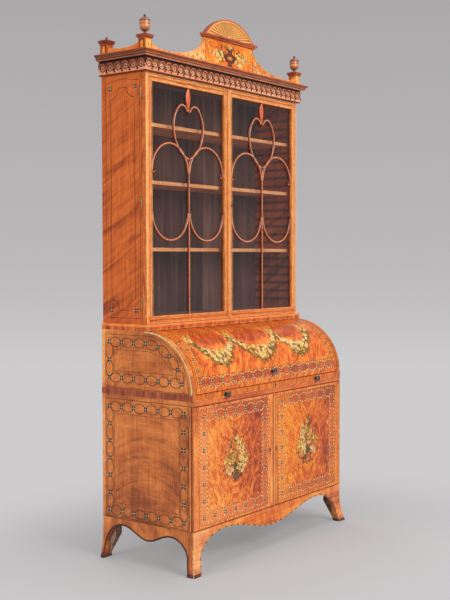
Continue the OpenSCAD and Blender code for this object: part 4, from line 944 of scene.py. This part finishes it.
def spray(m, cu, low, seed, flip):
    """A tall bunch of flowers, tied at its foot, for the middle of a cupboard door."""
    dice = random.Random(seed)
    knot = (cu, low + 0.055)
    stems = ((90, 0.205, 0.1, 14), (99, 0.16, 0.25, 10), (80, 0.165, -0.25, 10), (112, 0.125, 0.35, 8),
             (67, 0.125, -0.35, 8), (130, 0.095, 0.3, 6), (50, 0.095, -0.3, 6))
    for turn, length, curve, leaves in stems:
        u, v = stem(m, dice, knot, radians(turn), length, curve * flip, leaves)
        for _ in range(3):
            m.blossom(u + dice.uniform(-0.01, 0.01), v + dice.uniform(-0.012, 0.012),
                      dice.uniform(0.004, 0.006), FLOWERS[2], dice.random())
    for _ in range(30):
        turn = dice.uniform(0, tau)
        m.leaf((cu + dice.uniform(-0.04, 0.04), low + 0.03 + dice.uniform(-0.012, 0.06)), turn,
               dice.uniform(0.016, 0.028), dice.uniform(0.009, 0.014),
               dice.choice([MOSS, MOSS, OLIVE]), dice.choice([OLIVE, MOSS]))
    clusters = ((-0.022, 0.135, 0.022, 0.036, 20, (2, 0, 2)), (0.034, 0.148, 0.017, 0.054, 30, (0, 1, 1)),
                (0.026, 0.085, 0.022, 0.026, 16, (0, 1, 0)), (-0.038, 0.07, 0.022, 0.022, 14, (3, 3, 1)),
                (0.004, 0.196, 0.01, 0.034, 14, (0, 0, 2)), (-0.056, 0.112, 0.016, 0.024, 8, (2, 2, 0)),
                (0.06, 0.11, 0.012, 0.026, 8, (2, 0, 2)))
    for du, dv, wide, high, count, kinds in clusters:
        for _ in range(count):
            a, r = dice.uniform(0, tau), sqrt(dice.random())
            m.blossom(cu + flip * 1.2 * (du + wide * r * cos(a)), low + dv + high * r * sin(a),
                      dice.uniform(0.0062, 0.0104), FLOWERS[dice.choice(kinds)], dice.random())
    for _ in range(46):
        across = dice.uniform(-0.095, 0.095)
        m.leaf((cu + across, low + dice.uniform(0.04, 0.235 - abs(across))), dice.uniform(0, tau),
               dice.uniform(0.01, 0.017), dice.uniform(0.005, 0.008),
               dice.choice([MOSS, OLIVE, UMBER]), OLIVE)
    for _ in range(40):
        across = dice.uniform(-0.098, 0.098)
        m.blossom(cu + across, low + dice.uniform(0.05, 0.215 - abs(across) * 0.7),
                  dice.uniform(0.0032, 0.005), FLOWERS[dice.choice((2, 2, 0))], dice.random(), 4)


def garland(m, dice, start, end, drop, thick, heads, size):
    """A swag of flowers that hangs between two points, fullest in its middle."""
    def at(t):
        return (start[0] + (end[0] - start[0]) * t,
                start[1] + (end[1] - start[1]) * t - drop * (1 - (2 * t - 1) ** 2) ** 0.8)
    for i in range(heads * 2):
        t = (i + 0.5) / (heads * 2)
        u, v = at(t)
        fat = thick * (0.3 + 0.8 * sin(pi * t) ** 1.5)
        m.leaf((u, v - fat * 0.2 + dice.uniform(-fat, fat) * 0.5), dice.uniform(pi, tau),
               dice.uniform(1.2, 2.1) * size, dice.uniform(0.6, 1.0) * size,
               dice.choice([MOSS, OLIVE, OLIVE]), dice.choice([OLIVE, OCHRE]))
    for i in range(heads):
        t = 0.5 + (i / heads - 0.5) * (0.55 + 0.45 * abs(2 * i / heads - 1))
        u, v = at(min(max(t + dice.uniform(-0.02, 0.02), 0.0), 1.0))
        fat = thick * (0.16 + 0.84 * sin(pi * t) ** 2)
        m.blossom(u + dice.uniform(-1, 1) * size * 0.5, v + dice.uniform(-fat, fat) * 0.5,
                  dice.uniform(0.6, 1.15) * size, dice.choice(FLOWERS[:2] * 3 + FLOWERS[2:]), dice.random())


def bow(m, dice, u, v, size):
    """The knot and tuft that a swag hangs from."""
    for way in (150, 30, 205, 335, 90):
        m.leaf((u, v), radians(way), size, size * 0.4, OCHRE, PRIMROSE)
    for way, curve in ((248, -0.5), (292, 0.5)):
        stem(m, dice, (u, v), radians(way), size * 1.7, curve, 6, (OLIVE, OCHRE, UMBER))
    for _ in range(9):
        m.blossom(u + dice.uniform(-size, size) * 0.7, v + dice.uniform(-size, size) * 0.5,
                  dice.uniform(0.005, 0.009), dice.choice(FLOWERS[:3]), dice.random())


def chained(m, points, tints, width=0.0034, ground=None, rim=None):
    """A run of ovals with a quatrefoil at each joint."""
    gap, half, size, arm = (0.004, 0.02, 0.0104, 0.19) if rim else (0.002, 0.0213, 0.009, 0.26)
    m.chain(points, gap, half, tints, width, ground, rim)
    for u, v in points[:-1] if points[0] == points[-1] else points:
        m.quatrefoil(u, v, size, arm)


def facing(side, near, far):
    """Two distances from the middle of the front as low and high X on one side of it."""
    return sorted((near * side, far * side))


def inlay_door(side, word):
    """Strings, chain, flowers and keyhole of one cupboard door, and the dark line on its hinge edge."""
    m = Marquetry(f"door_inlay_{word}", f"cupboard_{word}", on_front(FRONT_Y))
    low, high = DOOR_LOW.z, DOOR_HIGH.z
    meeting = 0.0155 if side > 0 else 0.003
    m.box(*facing(side, meeting, CASE_HALF - 0.002), low + 0.0018, high - 0.0018, 0.003, ["702e22"])
    for near, far, foot, head in (OUTER_STRING, INNER_STRING):
        m.box(*facing(side, near, far), foot, head, 0.0024, [STRAW, UMBER, AMBER], 0.006)
    joints = ring_of(0.07 * side, (CASE_HALF - 0.077) * side, low + 0.047, high - 0.047, 6, 6)
    chained(m, joints, FRONT_CHAIN)
    spray(m, 0.292 * side, 0.335, 5 + side, -side)
    m.keyhole(0.026 * side, 0.455, 0.011)
    m.lay()

    edge = Marquetry(f"door_edge_{word}", f"cupboard_{word}", on_side(side, CASE_HALF))
    y = FRONT_Y + 0.0065
    edge.string([(y, low + 0.0005), (y, high - 0.0005)], 0.009, ["863c2a"])
    edge.lay()


def inlay_desk_side(side, word):
    """Chains and dark strings on one side of the desk case, and a pale rim over its curved top."""
    m = Marquetry(f"desk_side_inlay_{word}", "carcass", on_side(side, CASE_HALF))
    y0, y1 = FRONT_Y + 0.05, BACK_Y - 0.045
    chained(m, ring_of(y0, y1, 0.222, 0.688, 6, 6), SIDE_CHAIN, 0.0024, rim=UMBER)
    m.box(FRONT_Y + 0.025, BACK_Y - 0.02, 0.1935, 0.722, 0.0022, [EBONY])
    m.box(y0 + 0.025, y1 - 0.027, 0.256, 0.658, 0.0018, [UMBER])
    m.string([(DOOR_HIGH.y + 0.003, 0.1878), (BACK_Y, 0.1878)], 0.002, [EBONY])

    low, high = 0.817, 0.975
    r = high - DESK_Z + 0.002
    top = [(FRONT_Y + y, high) for y in (0.475, 0.403, 0.332, 0.262)]
    curve = [polar(AXIS_Y, DESK_Z, r, radians(90 + a)) for a in (20, 40, 60, 78)]
    foot = [(FRONT_Y + y, low) for y in (0.127, 0.19, 0.262, 0.332, 0.403, 0.475)]
    back = [(FRONT_Y + 0.475, 0.896), top[0]]
    chained(m, top + curve + foot + back, SIDE_CHAIN, 0.0028, rim=UMBER)
    rim = [(0.003, 0.0003), (-0.003, 0.0003), (-0.003, -SINK), (0.003, -SINK)]
    m.sweep(arc_line(AXIS_Y, DESK_Z, 0.2545, 88, 181, 1.5), rim, [IVORY, CREAM, STRAW])
    for r, inner, floor, width in ((0.239, 0.02, 0.7735, 0.0018), (0.172, 0.072, 0.848, 0.0016)):
        far = BACK_Y - inner
        start = 180 - degrees(asin((floor - DESK_Z) / r))
        bend = arc_line(AXIS_Y, DESK_Z, r, 90, start, 3)
        corner = (far, DESK_Z + r)
        for line in ([corner] + bend, [bend[-1], (far, floor)], [(far, floor), corner]):
            m.string(line, width, [EBONY])
    m.lay()


def inlay_book_side(side, word):
    """Strings with hollowed corners round the tall side panel, and a quatrefoil in each corner."""
    m = Marquetry(f"book_side_inlay_{word}", "carcass", on_side(side, BOOK_HALF))
    dark = ["3a1e16"]
    y0, y1 = FRONT_Y + 0.325, FRONT_Y + 0.465
    z0, z1 = 1.117, 2.092
    line = []
    for y, z, start in ((y0, z0, 0), (y0, z1, 270), (y1, z1, 180), (y1, z0, 90)):
        line += arc_line(y, z, 0.046, start, start + 90, 9)
    m.string(line, 0.0026, dark, closed=True)
    u0, u1, v0, v1 = y0 - 0.03, y1 + 0.03, z0 - 0.034, z1 + 0.026
    n = 40
    rise = [(u0 + (u1 - u0) * i / n, v1 + 0.011 * (1 - cos(tau * i / n)) / 2) for i in range(n + 1)]
    for line in ([(u0, v0), (u0, v1)], rise, [(u1, v1), (u1, v0)], [(u1, v0), (u0, v0)]):
        m.string(line, 0.0019, dark)
    for u in (y0 - 0.004, y1 + 0.002):
        for v in (z0, z1):
            m.quatrefoil(u, v, 0.0105)
    m.lay()


def inlay_fall():
    """Chains, strings, swags and bows of the curved fall."""
    m = Marquetry("fall_inlay", "cylinder_fall", on_fall)
    dice = random.Random(11)
    half, side_end = 0.54, 0.561
    ground = ["bc562c", "ce642e", "c45c2e", "b4502a", "d66c32"]
    chained(m, [(-half + 2 * half * i / 14, -0.36) for i in range(15)], FRONT_CHAIN, 0.0038, ground)
    for side in (-1, 1):
        column = [(side * half, -0.146 - 0.0535 * i) for i in range(5)]
        m.chain(column, 0.004, 0.0165, [PRIMROSE, STRAW, UMBER], 0.0034)
        for u, v in column[:-1]:
            m.quatrefoil(u, v, 0.008)
        for u in (CHAIN_SIDE, side_end):
            m.string(walk((side * u, -0.1), (side * u, -CHAIN_FOOT), 0.005), 0.002, [OCHRE, UMBER, AMBER])
        m.string(walk((side * 0.574, -0.005), (side * 0.574, -0.4), 0.02), 0.003, [AMBER, UMBER])
    for v, tints in ((0.336, [OCHRE, AMBER, UMBER]), (CHAIN_FOOT, [STRAW, OCHRE, AMBER]),
                     (0.088, [PRIMROSE, UMBER, OCHRE]), (0.1, [PRIMROSE, OCHRE, UMBER])):
        m.string(walk((-side_end, -v), (side_end, -v), 0.008), 0.0028, tints)
    for u0, u1 in zip(HOOKS, HOOKS[1:]):
        garland(m, dice, (u0, -0.148), (u1, -0.148), 0.105, 0.06, 96, 0.0128)
    for u in HOOKS:
        bow(m, dice, u, -0.136, 0.034)
    m.lay()


def inlay_glazed(side, word):
    """Strings on the stiles and rails of one glazed door, and the keyhole of the right one."""
    m = Marquetry(f"frame_inlay_{word}", f"glazed_door_{word}", on_front(BOOK_FRONT))
    x0, x1 = FRAME_LOW.x, BOOK_HALF
    p0, p1 = PANE_LOW.x + REBATE, PANE_HIGH.x - REBATE
    z0, z1 = FRAME_LOW.z, FRAME_HIGH.z
    q0, q1 = PANE_LOW.z + REBATE, PANE_HIGH.z - REBATE
    bead = 0.0142 if side > 0 else 0.0
    inner = (x0 + p0) / 2 + (0.0075 if side > 0 else 0)
    m.box(*facing(side, inner, (p1 + x1) / 2), (z0 + q0) / 2, (q1 + z1) / 2,
          0.0026, [UMBER, AMBER, RUDDY[2]], 0.0055)
    m.box(*facing(side, p0 - 0.0022, p1 + 0.0022), q0 - 0.0022, q1 + 0.0022,
          0.0028, [STILE[3], STILE[2]], 0.03)
    m.box(*facing(side, x0 + 0.002 + bead, x1 - 0.002), z0 + 0.002, z1 - 0.002,
          0.0024, [STILE[3], "face96"], 0.03)
    if side > 0:
        m.keyhole(0.022, 1.597, 0.009)
    m.lay()


BAR_WIDTH = 0.013
BAR_HEIGHT = 0.008

# Section of a glazing bar: share of its width across, share of its height up, and the strip that follows. The
# dark strips on its flanks and feet are painted shade; the ridge has no strip and takes the tints along the
# bar.
BAR_SECTION = [(-0.5, 0.0, BAR_EDGE), (-0.5, 0.38, BAR_DARK), (-0.36, 0.5, BAR_DARK),
               (-0.3, 0.8, BAR_MID), (-0.12, 1.0, None), (0.12, 1.0, BAR_MID), (0.3, 0.8, BAR_DARK),
               (0.36, 0.5, BAR_DARK), (0.5, 0.38, BAR_EDGE), (0.5, 0.0, BAR_EDGE)]
# Tints along the ridge, mostly pale as a painted highlight
BAR_TINTS = [BAR_PALE, BAR_PALE, BAR_MID, BAR_PALE, BAR_DARK]


def glazing_bars(side, word):
    """Loops, heart, stem, bosses and bud of one door, as moulded bars on the glass."""
    middle = (BARS_LOW.x + BARS_HIGH.x) / 2 * side
    back = BARS_LOW.y + BAR_HEIGHT
    m = Marquetry(f"glazing_bars_{word}", f"glazed_door_{word}",
                  lambda u, v, lift: (middle + u, back - lift, v), MOULDED_BARS)
    foot, head = BARS_LOW.z, BARS_HIGH.z
    loop_r, curl_r, top_r, mid_r, wide, rise = 0.124, 0.01, 0.035, 0.125, 0.106, 0.143
    loop_x = loop_r + BAR_WIDTH / 2
    low_z = foot + 0.334 + loop_r
    high_z = low_z + 0.182
    point_z = high_z + 0.061
    heart_z = point_z + rise
    low_r = (wide * wide + rise * rise) / (2 * wide)
    low_turn = degrees(asin(rise / low_r))
    lobe_x, lobe_z = polar(wide - mid_r, heart_z, mid_r - top_r, radians(45))

    def bar(line, width=BAR_WIDTH, tints=BAR_TINTS, scale=None):
        height = BAR_HEIGHT * min(1.0, width / BAR_WIDTH + 0.15)
        m.sweep(line, [(a * width, b * height) for a, b, _ in BAR_SECTION], tints, scale=scale,
                strips=[strip for _, _, strip in BAR_SECTION])

    bar(walk((0, foot), (0, point_z), 0.004))
    loops = [arc_line(loop_x, low_z, loop_r, 180, 360, 2), arc_line(loop_x, high_z, loop_r, 0, 180, 2),
             arc_line(wide - low_r, heart_z, low_r, -low_turn, 0, 1)
             + arc_line(wide - mid_r, heart_z, mid_r, 2, 45, 2) + arc_line(lobe_x, lobe_z, top_r, 50, 165, 6)]
    curl = arc_line(loop_x + loop_r - curl_r, high_z, curl_r, 1, -185, 12)
    for way in (-1, 1):
        for line in loops:
            bar([(u * way, v) for u, v in line])
        bar([(u * way, v) for u, v in curl], BAR_WIDTH * 0.62, [BAR_MID, BAR_PALE],
            [1.0 - 0.25 * i / len(curl) for i in range(len(curl))])
    bosses = [(0, low_z, 0.007), (0, point_z - 0.002, 0.01), (0, lobe_z + 0.004, 0.0062)]
    for way in (-1, 1):
        bosses += [(way * (loop_x + loop_r - 0.001), low_z + 0.005, 0.0068),
                   (way * (loop_x + loop_r - 2 * curl_r), high_z + 0.004, 0.0062)]
    steps = ((1, 0.0), (1, 0.0055), (0.82, 0.0072), (0.62, 0.007), (0.5, 0.0084), (0.25, 0.009))
    for u, v, r in bosses:
        m.turned(u, v, [(r * share, lift) for share, lift in steps], BAR_DARK, UMBER)
    bud_foot, n = lobe_z + top_r * 0.15, 18
    line = [(0, bud_foot + (head - bud_foot) * i / n) for i in range(n + 1)]
    fat = [0.22 + 0.9 * sin(pi * (i / n) ** 1.4) for i in range(n + 1)]
    m.sweep(line, [(-0.014, 0.0), (-0.014, 0.0028), (-0.009, 0.0056), (0, 0.008), (0.009, 0.0056),
                   (0.014, 0.0028), (0.014, 0.0)], ["de6834"], scale=fat)
    piece = m.lay(smooth=True)
    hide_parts(f"tracery_{word}")


def inlay_slide():
    """Two strings and a keyhole on the front edge of the writing slide."""
    m = Marquetry("slide_inlay", "slide", on_front(FRONT_Y))
    for v, tints in ((SLIDE_LOW.z + 0.0018, [STRAW, OCHRE, AMBER]), (SLIDE_HIGH.z - 0.0015, [AMBER, UMBER])):
        m.string(walk((SLIDE_LOW.x + 0.001, v), (SLIDE_HIGH.x - 0.001, v), 0.02), 0.0016, tints)
    m.keyhole(0.018, 0.7545, 0.0105)
    m.lay()


def inlay_moulding():
    """A pale string and a small dark lozenge on the moulding at the foot of the bookcase."""
    m = Marquetry("moulding_inlay", "carcass", on_front(MOULD_LOW.y + 0.003))
    half, v = MOULD_HIGH.x - 0.004, 1.0318
    m.string(walk((-half, v), (half, v), 0.04), 0.0018, [OCHRE, PRIMROSE])
    m.plate([(-0.027, 1.0385), (-0.014, 1.0355), (-0.001, 1.0385), (-0.014, 1.0415)], EBONY, UMBER)
    m.lay()


def fill_arches(word, place, start, pitch, count, petal, tip):
    """A pale rosette on a dark ground in each arch of the frieze, and a dark half drop under each joint as
    the drop's painted shadow on the frieze.
    """
    m = Marquetry(f"arch_rosettes_{word}", "carcass", place)
    middle = ARCH_MIDDLE - 0.0015
    for i in range(count):
        u = start + (i + 0.5) * pitch
        m.plates = 0
        m.plate(round_outline(u, ARCH_MIDDLE, 0.0176, 0.0176, 22), "8c4a34", "603026")
        for k in range(8):
            a = radians(22.5 + 45 * k)
            m.leaf(polar(u, middle, 0.002, a), a, 0.0128, 0.005, petal, tip)
        m.plate(round_outline(u, middle, 0.0034, 0.0034, 8), EBONY)
    # Painted shadow: a dark plate on the frieze under each joint's drop.
    for i in range(1, count):
        m.plate(round_outline(start + i * pitch, ARCADE_Z - 0.003, 0.0062, 0.005, 12), "542820")
    m.lay()


def paint_tablet():
    """A generic urn with flowers and scrolling leaves on the tablet."""
    m = Marquetry("tablet_painting", "carcass", on_front(TABLET_LOW.y))
    dice = random.Random(21)
    base = TABLET_LOW.z
    profile = [(0.018, 0.008), (0.024, 0.013), (0.01, 0.022), (0.034, 0.034), (0.046, 0.05),
               (0.044, 0.062), (0.02, 0.071), (0.016, 0.082), (0.03, 0.091), (0.012, 0.096)]
    for (w0, h0), (w1, h1) in zip(profile, profile[1:]):
        m.plate([(-w0, base + h0), (w0, base + h0), (w1, base + h1), (-w1, base + h1)], "602e1a", "884422")
    m.plate(round_outline(0, base + 0.05, 0.02, 0.0085, 16), "d67828", "f0963c")
    for side in (-1, 1):
        for i in range(5):
            stem(m, dice, (side * 0.032, base + 0.052), radians(90 - side * (24 + 22 * i)),
                 dice.uniform(0.05, 0.075), side * dice.choice([-1.1, 0.9]), 5, (UMBER, EBONY, OLIVE))
        for cu, cv, r, way in ((0.098, 0.082, 0.013, 1), (0.128, 0.06, 0.01, -1), (0.066, 0.094, 0.009, 1)):
            curl = [polar(cu, base + cv, r * (1 - a / 600), radians(a * way - 90))
                    for a in range(0, 480, 24)]
            m.string([(side * u, v) for u, v in [(0.04, base + 0.06)] + curl], 0.0024, [UMBER])
        for _ in range(26):
            m.blossom(side * dice.uniform(0.046, 0.126), base + dice.uniform(0.02, 0.074),
                      dice.uniform(0.0065, 0.0115), dice.choice(FLOWERS[:2] * 2 + FLOWERS[:3]), dice.random())
        for i in range(14):
            t = i / 13
            u = side * (0.163 + 0.012 * sin(9 * t))
            m.leaf((u, base + 0.012 + 0.092 * t), radians(90 + side * 35 * (-1) ** i), 0.014, 0.007,
                   OCHRE, PRIMROSE)
            if i % 2:
                m.blossom(u, base + 0.014 + 0.092 * t, 0.0052, FLOWERS[i % 3], t)
    for _ in range(8):
        m.blossom(dice.uniform(-0.026, 0.026), base + dice.uniform(0.092, 0.106),
                  dice.uniform(0.004, 0.007), dice.choice(FLOWERS[:3]), dice.random())
    half = TABLET_HIGH.x - 0.003
    m.box(-half, half, base + 0.003, TABLET_HIGH.z - 0.003, 0.0026, [UMBER, AMBER], 0.012)
    m.lay()


def hollow(u, ends=(0.19, 0.12), low=(0.465, 0.015)):
    """Height of a scroll board's hollow top edge at a distance from the middle."""
    share = (low[0] - u) / (low[0] - ends[0])
    return low[1] + (ends[1] - low[1]) * (1 - sqrt(max(0.0, 1 - share * share)))


def paint_scrolls():
    """Small flowers and leaves on the scroll boards, thickest beside the tablet, between two strings."""
    m = Marquetry("scroll_painting", "carcass", on_front(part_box("scroll_boards")[0].y))
    dice = random.Random(33)
    base = CROWN_Z
    for side in (-1, 1):
        for i in range(34):
            u = 0.197 + 0.115 * dice.random() ** 1.6
            room = hollow(u) - 0.012
            v = 0.007 + (room - 0.007) * dice.random() ** 1.4
            size = min(dice.uniform(0.004, 0.008), 0.5 * (room - 0.004))
            if i % 2:
                m.blossom(side * u, base + v, size, dice.choice(FLOWERS[:2]), dice.random())
            else:
                m.leaf((side * u, base + v), radians(90 + side * dice.uniform(-70, 70)),
                       2.0 * size, size, OLIVE, OCHRE)
        for i in range(13):
            turn = radians(90 + side * 60 * (-1) ** i)
            m.leaf((side * (0.32 + 0.017 * i), base + 0.009), turn, 0.01, 0.005, OLIVE, OCHRE)
        reaches = [0.194 + 0.0045 * i for i in range(58)]
        m.string([(side * u, base + hollow(u) - 0.0045) for u in reaches], 0.0022, [AMBER, STRAW])
        foot = walk((side * 0.193, base + 0.003), (side * 0.54, base + 0.003), 0.01)
        m.string(foot, 0.002, [AMBER, UMBER])
    m.lay()


def inlay_pedestals():
    """Orange panels with dark borders on the pedestals' sides, and a pale one with a leaf on their fronts."""
    v, half = CROWN_Z + 0.025, 0.019
    front = Marquetry("pedestal_fronts", "carcass", on_front(FRIEZE_Y))
    for side, word in SIDES:
        u = side * (FRIEZE_HALF - 0.0205)
        front.plate(plain_outline(u, v, 0.017, half + 0.003), STRAIGHT[3])
        front.plate(plain_outline(u, v, 0.013, half), PRIMROSE, CREAM)
        front.plate(round_outline(u, v, 0.006, 0.012, 12), OCHRE, PRIMROSE)
        front.leaf((u, v - 0.008), radians(90), 0.016, 0.006, AMBER, OCHRE)
        sides = Marquetry(f"pedestal_sides_{word}", "carcass", on_side(side, FRIEZE_HALF))
        for y in (FRIEZE_Y + 0.0205, BACK_Y - 0.027):
            sides.plate(plain_outline(y, v, 0.015, half + 0.003), UMBER)
            sides.plate(plain_outline(y, v, 0.0095, half - 0.003), "fa8c2c", "ffa03c")
        sides.lay()
    front.lay()


# Feet and aprons, with the same curves as their solids
SPLAY = 0.021
SPLAY_Z = 0.13
SPRING_Z = 0.05
SPLAY_R = (SPLAY_Z * SPLAY_Z + SPLAY * SPLAY) / (2 * SPLAY)


def splay(z):
    """How far a foot stands out from the case at a height."""
    return 0.0 if z >= SPLAY_Z else SPLAY_R - sqrt(SPLAY_R * SPLAY_R - (SPLAY_Z - z) ** 2)


def quarter(top_at, top_z, foot_at, n=16):
    """A quarter of an ellipse from an arch top down to the inside of a foot."""
    return [(top_at + (foot_at - top_at) * sin(pi / 2 * i / n),
             SPRING_Z + (top_z - SPRING_Z) * cos(pi / 2 * i / n)) for i in range(n + 1)]


def wave(u0, z0, u1, z1, n=16):
    """A soft step from one height to another."""
    return [(u0 + (u1 - u0) * i / n, (z0 + z1) / 2 + (z0 - z1) / 2 * cos(pi * i / n))
            for i in range(n + 1)]


def inset(line, reach):
    """A line moved by a distance to its left."""
    moved = []
    for i, (u, v) in enumerate(line):
        a, b = line[max(i - 1, 0)], line[min(i + 1, len(line) - 1)]
        size = dist(a, b)
        moved.append((u - (b[1] - a[1]) / size * reach, v + (b[0] - a[0]) / size * reach))
    return moved


def band_aprons():
    """Dark bands along the shaped edges of the sides, a thin pale one along the front, and corner strings."""
    inner_z = [SPRING_Z * (1 - i / 6) for i in range(1, 7)]
    foot_x = CASE_HALF + splay(SPRING_Z) - 0.052
    arch_x, arch_z = 0.375, 0.165
    half = (wave(0, 0.104, arch_x, arch_z, 26) + quarter(arch_x, arch_z, foot_x)[1:]
            + [(foot_x + splay(z) - splay(SPRING_Z), max(z, 0.001)) for z in inner_z])
    line = [(-u, v) for u, v in reversed(half[1:])] + half
    front = Marquetry("apron_string", "carcass", lambda u, v, lift: (u, FRONT_Y - splay(v) - lift, v))
    front.string(inset(line, 0.003), 0.0054, ["ce9658", "78462c", "e0ac6a"])
    front.lay()

    foot_in = 0.037 - splay(SPRING_Z)
    arch_y, drop_y, rear_y, foot_y = 0.125, 0.255, 0.4, 0.5
    edge = ([(foot_in - splay(z) + splay(SPRING_Z), max(z, 0.001)) for z in reversed(inner_z)]
            + quarter(arch_y, 0.147, foot_in)[::-1] + wave(arch_y, 0.147, drop_y, 0.11)[1:]
            + wave(drop_y, 0.11, rear_y, 0.157)[1:] + quarter(rear_y, 0.157, foot_y)[1:] + [(foot_y, 0.001)])
    heights = [0.001 + 0.0074 * i for i in range(26)]
    for side, word in SIDES:
        m = Marquetry(f"side_band_{word}", "carcass",
                      lambda u, v, lift: (side * (CASE_HALF + splay(v) + lift), u, v))
        m.string([(FRONT_Y + u, v) for u, v in inset(edge, 0.0042)], 0.008, ["54281c", "482018"])
        m.string([(FRONT_Y - splay(z) + 0.0022, z) for z in heights[:16]], 0.0034, [IVORY, ROSE, CREAM])
        m.string([(FRONT_Y - splay(z) + 0.02, z) for z in heights if z < PLINTH_Z], 0.0014, [UMBER])
        m.lay()


for side, word in SIDES:
    inlay_door(side, word)
    inlay_desk_side(side, word)
    inlay_book_side(side, word)
inlay_fall()
for side, word in SIDES:
    inlay_glazed(side, word)
    glazing_bars(side, word)
inlay_slide()
inlay_moulding()
fill_arches("front", on_front(FRIEZE_Y), -FRIEZE_HALF, FRONT_PITCH, FRONT_ARCHES, "deac8c", IVORY)
# The side arches' rosettes take darker tints as painted shade.
for side, word in SIDES:
    fill_arches(word, on_side(side, FRIEZE_HALF), FRIEZE_Y, SIDE_PITCH, SIDE_ARCHES, "b0765a", "deb896")
paint_tablet()
paint_scrolls()
inlay_pedestals()
band_aprons()


def aim_camera():
    """The camera where the picture was taken from, fitted to the straight edges of the piece."""
    data = bpy.data.cameras.new("camera")
    camera = placed("camera", data)
    yaw, pitch, roll = radians(53.037), radians(-2.291), radians(-0.1435)
    ahead = Vector((sin(yaw) * cos(pitch), cos(yaw) * cos(pitch), sin(pitch)))
    level = Vector((cos(yaw), -sin(yaw), 0))
    upward = level.cross(ahead)
    right = level * cos(roll) + upward * sin(roll)
    up = upward * cos(roll) - level * sin(roll)
    turn = Matrix((right, up, -ahead)).transposed()
    camera.matrix_world = Matrix.Translation((-3.98206, -2.96446, 1.34419)) @ turn.to_4x4()
    data.sensor_width = 36.0
    data.lens = 62.345
    data.clip_end = 60.0
    bpy.context.scene.camera = camera


def lamp(name, at, size, power, glossy=False):
    """A square lamp that shines at the middle of the piece."""
    data = bpy.data.lights.new(name, "AREA")
    data.size = size
    data.energy = power
    piece = placed(name, data)
    piece.location = at
    piece.rotation_mode = "QUATERNION"
    piece.rotation_quaternion = (Vector((0, 0, 1.2)) - Vector(at)).to_track_quat("-Z", "Y")
    piece.visible_camera = False
    piece.visible_glossy = glossy


def build_backdrop():
    """Floor and wall in one: a wide round sweep, so that every view has the same pale ground."""
    flat, rise, top, turns = 7.6, 2.2, 9.0, 96
    profile = [(flat, 0.0)]
    for i in range(1, 13):
        a = radians(90 * i / 12)
        profile.append((flat + rise * sin(a), rise - rise * cos(a)))
    profile.append((flat + rise, top))
    points = [(0, 0, 0)]
    for r, z in profile:
        points += [(*polar(0, 0, r, tau * k / turns), z) for k in range(turns)]
    faces = [(0, 1 + k, 1 + (k + 1) % turns) for k in range(turns)]
    for a in range(1, 1 + (len(profile) - 1) * turns, turns):
        for k in range(turns):
            m = (k + 1) % turns
            faces.append((a + k, a + turns + k, a + turns + m, a + m))
    mesh = bpy.data.meshes.new("backdrop")
    mesh.from_pydata(points, [], faces)
    mesh.polygons.foreach_set("use_smooth", [True] * len(faces))

    f = Finish("backdrop")
    # The glow darkens towards the top of the wall as painted light falloff.
    ground = f.levels(f.z, 0.0, 5.2, "0 cecccd, 0.1 c4c2c3, 0.25 bbb9ba, "
                                     "0.6 b3b1b2, 1 aaa8a9")
    matt = f.node("ShaderNodeBsdfPrincipled", inputs={
        "Base Color": "b0aeaf", "Roughness": 0.9, "Specular IOR Level": 0.1})
    glow = f.node("ShaderNodeBsdfPrincipled", inputs={
        "Base Color": "000000", "Roughness": 1.0, "Specular IOR Level": 0.0,
        "Emission Color": ground, "Emission Strength": 1.0})
    seen, glossy, through = f.node("ShaderNodeLightPath", out=(
        "Is Camera Ray", "Is Glossy Ray", "Is Transmission Ray"))
    out_x = (abs(f.x) - CASE_HALF).math("MAXIMUM", 0.0)
    out_y = (abs(f.y) - BACK_Y).math("MAXIMUM", 0.0)
    share = f.ease((out_x * out_x + out_y * out_y).root(), 0.05, 1.3) * 0.64 + 0.36
    mesh.materials.append(f.show(f.node("ShaderNodeMixShader", inputs={
        0: (seen + glossy + through).least(1.0) * share, 1: matt, 2: glow})))
    sweep = placed("backdrop", mesh)


aim_camera()
lamp("key", (-0.9, -4.9, 3.9), 2.4, 200, glossy=True)
lamp("front_fill", (0.6, -5.6, 1.7), 2.6, 78)
lamp("side_fill", (-5.4, 0.7, 2.3), 3.0, 144)
lamp("back_fill", (2.4, 5.0, 3.4), 3.0, 110)
lamp("top_light", (0.2, -0.6, 6.2), 3.0, 110)
build_backdrop()

world = bpy.data.worlds.new("studio")
world.use_nodes = True
world.node_tree.nodes["Background"].inputs["Color"].default_value = srgb("ebecee")
world.node_tree.nodes["Background"].inputs["Strength"].default_value = 0.6
bpy.context.scene.world = world
bpy.context.scene.view_settings.view_transform = "Standard"
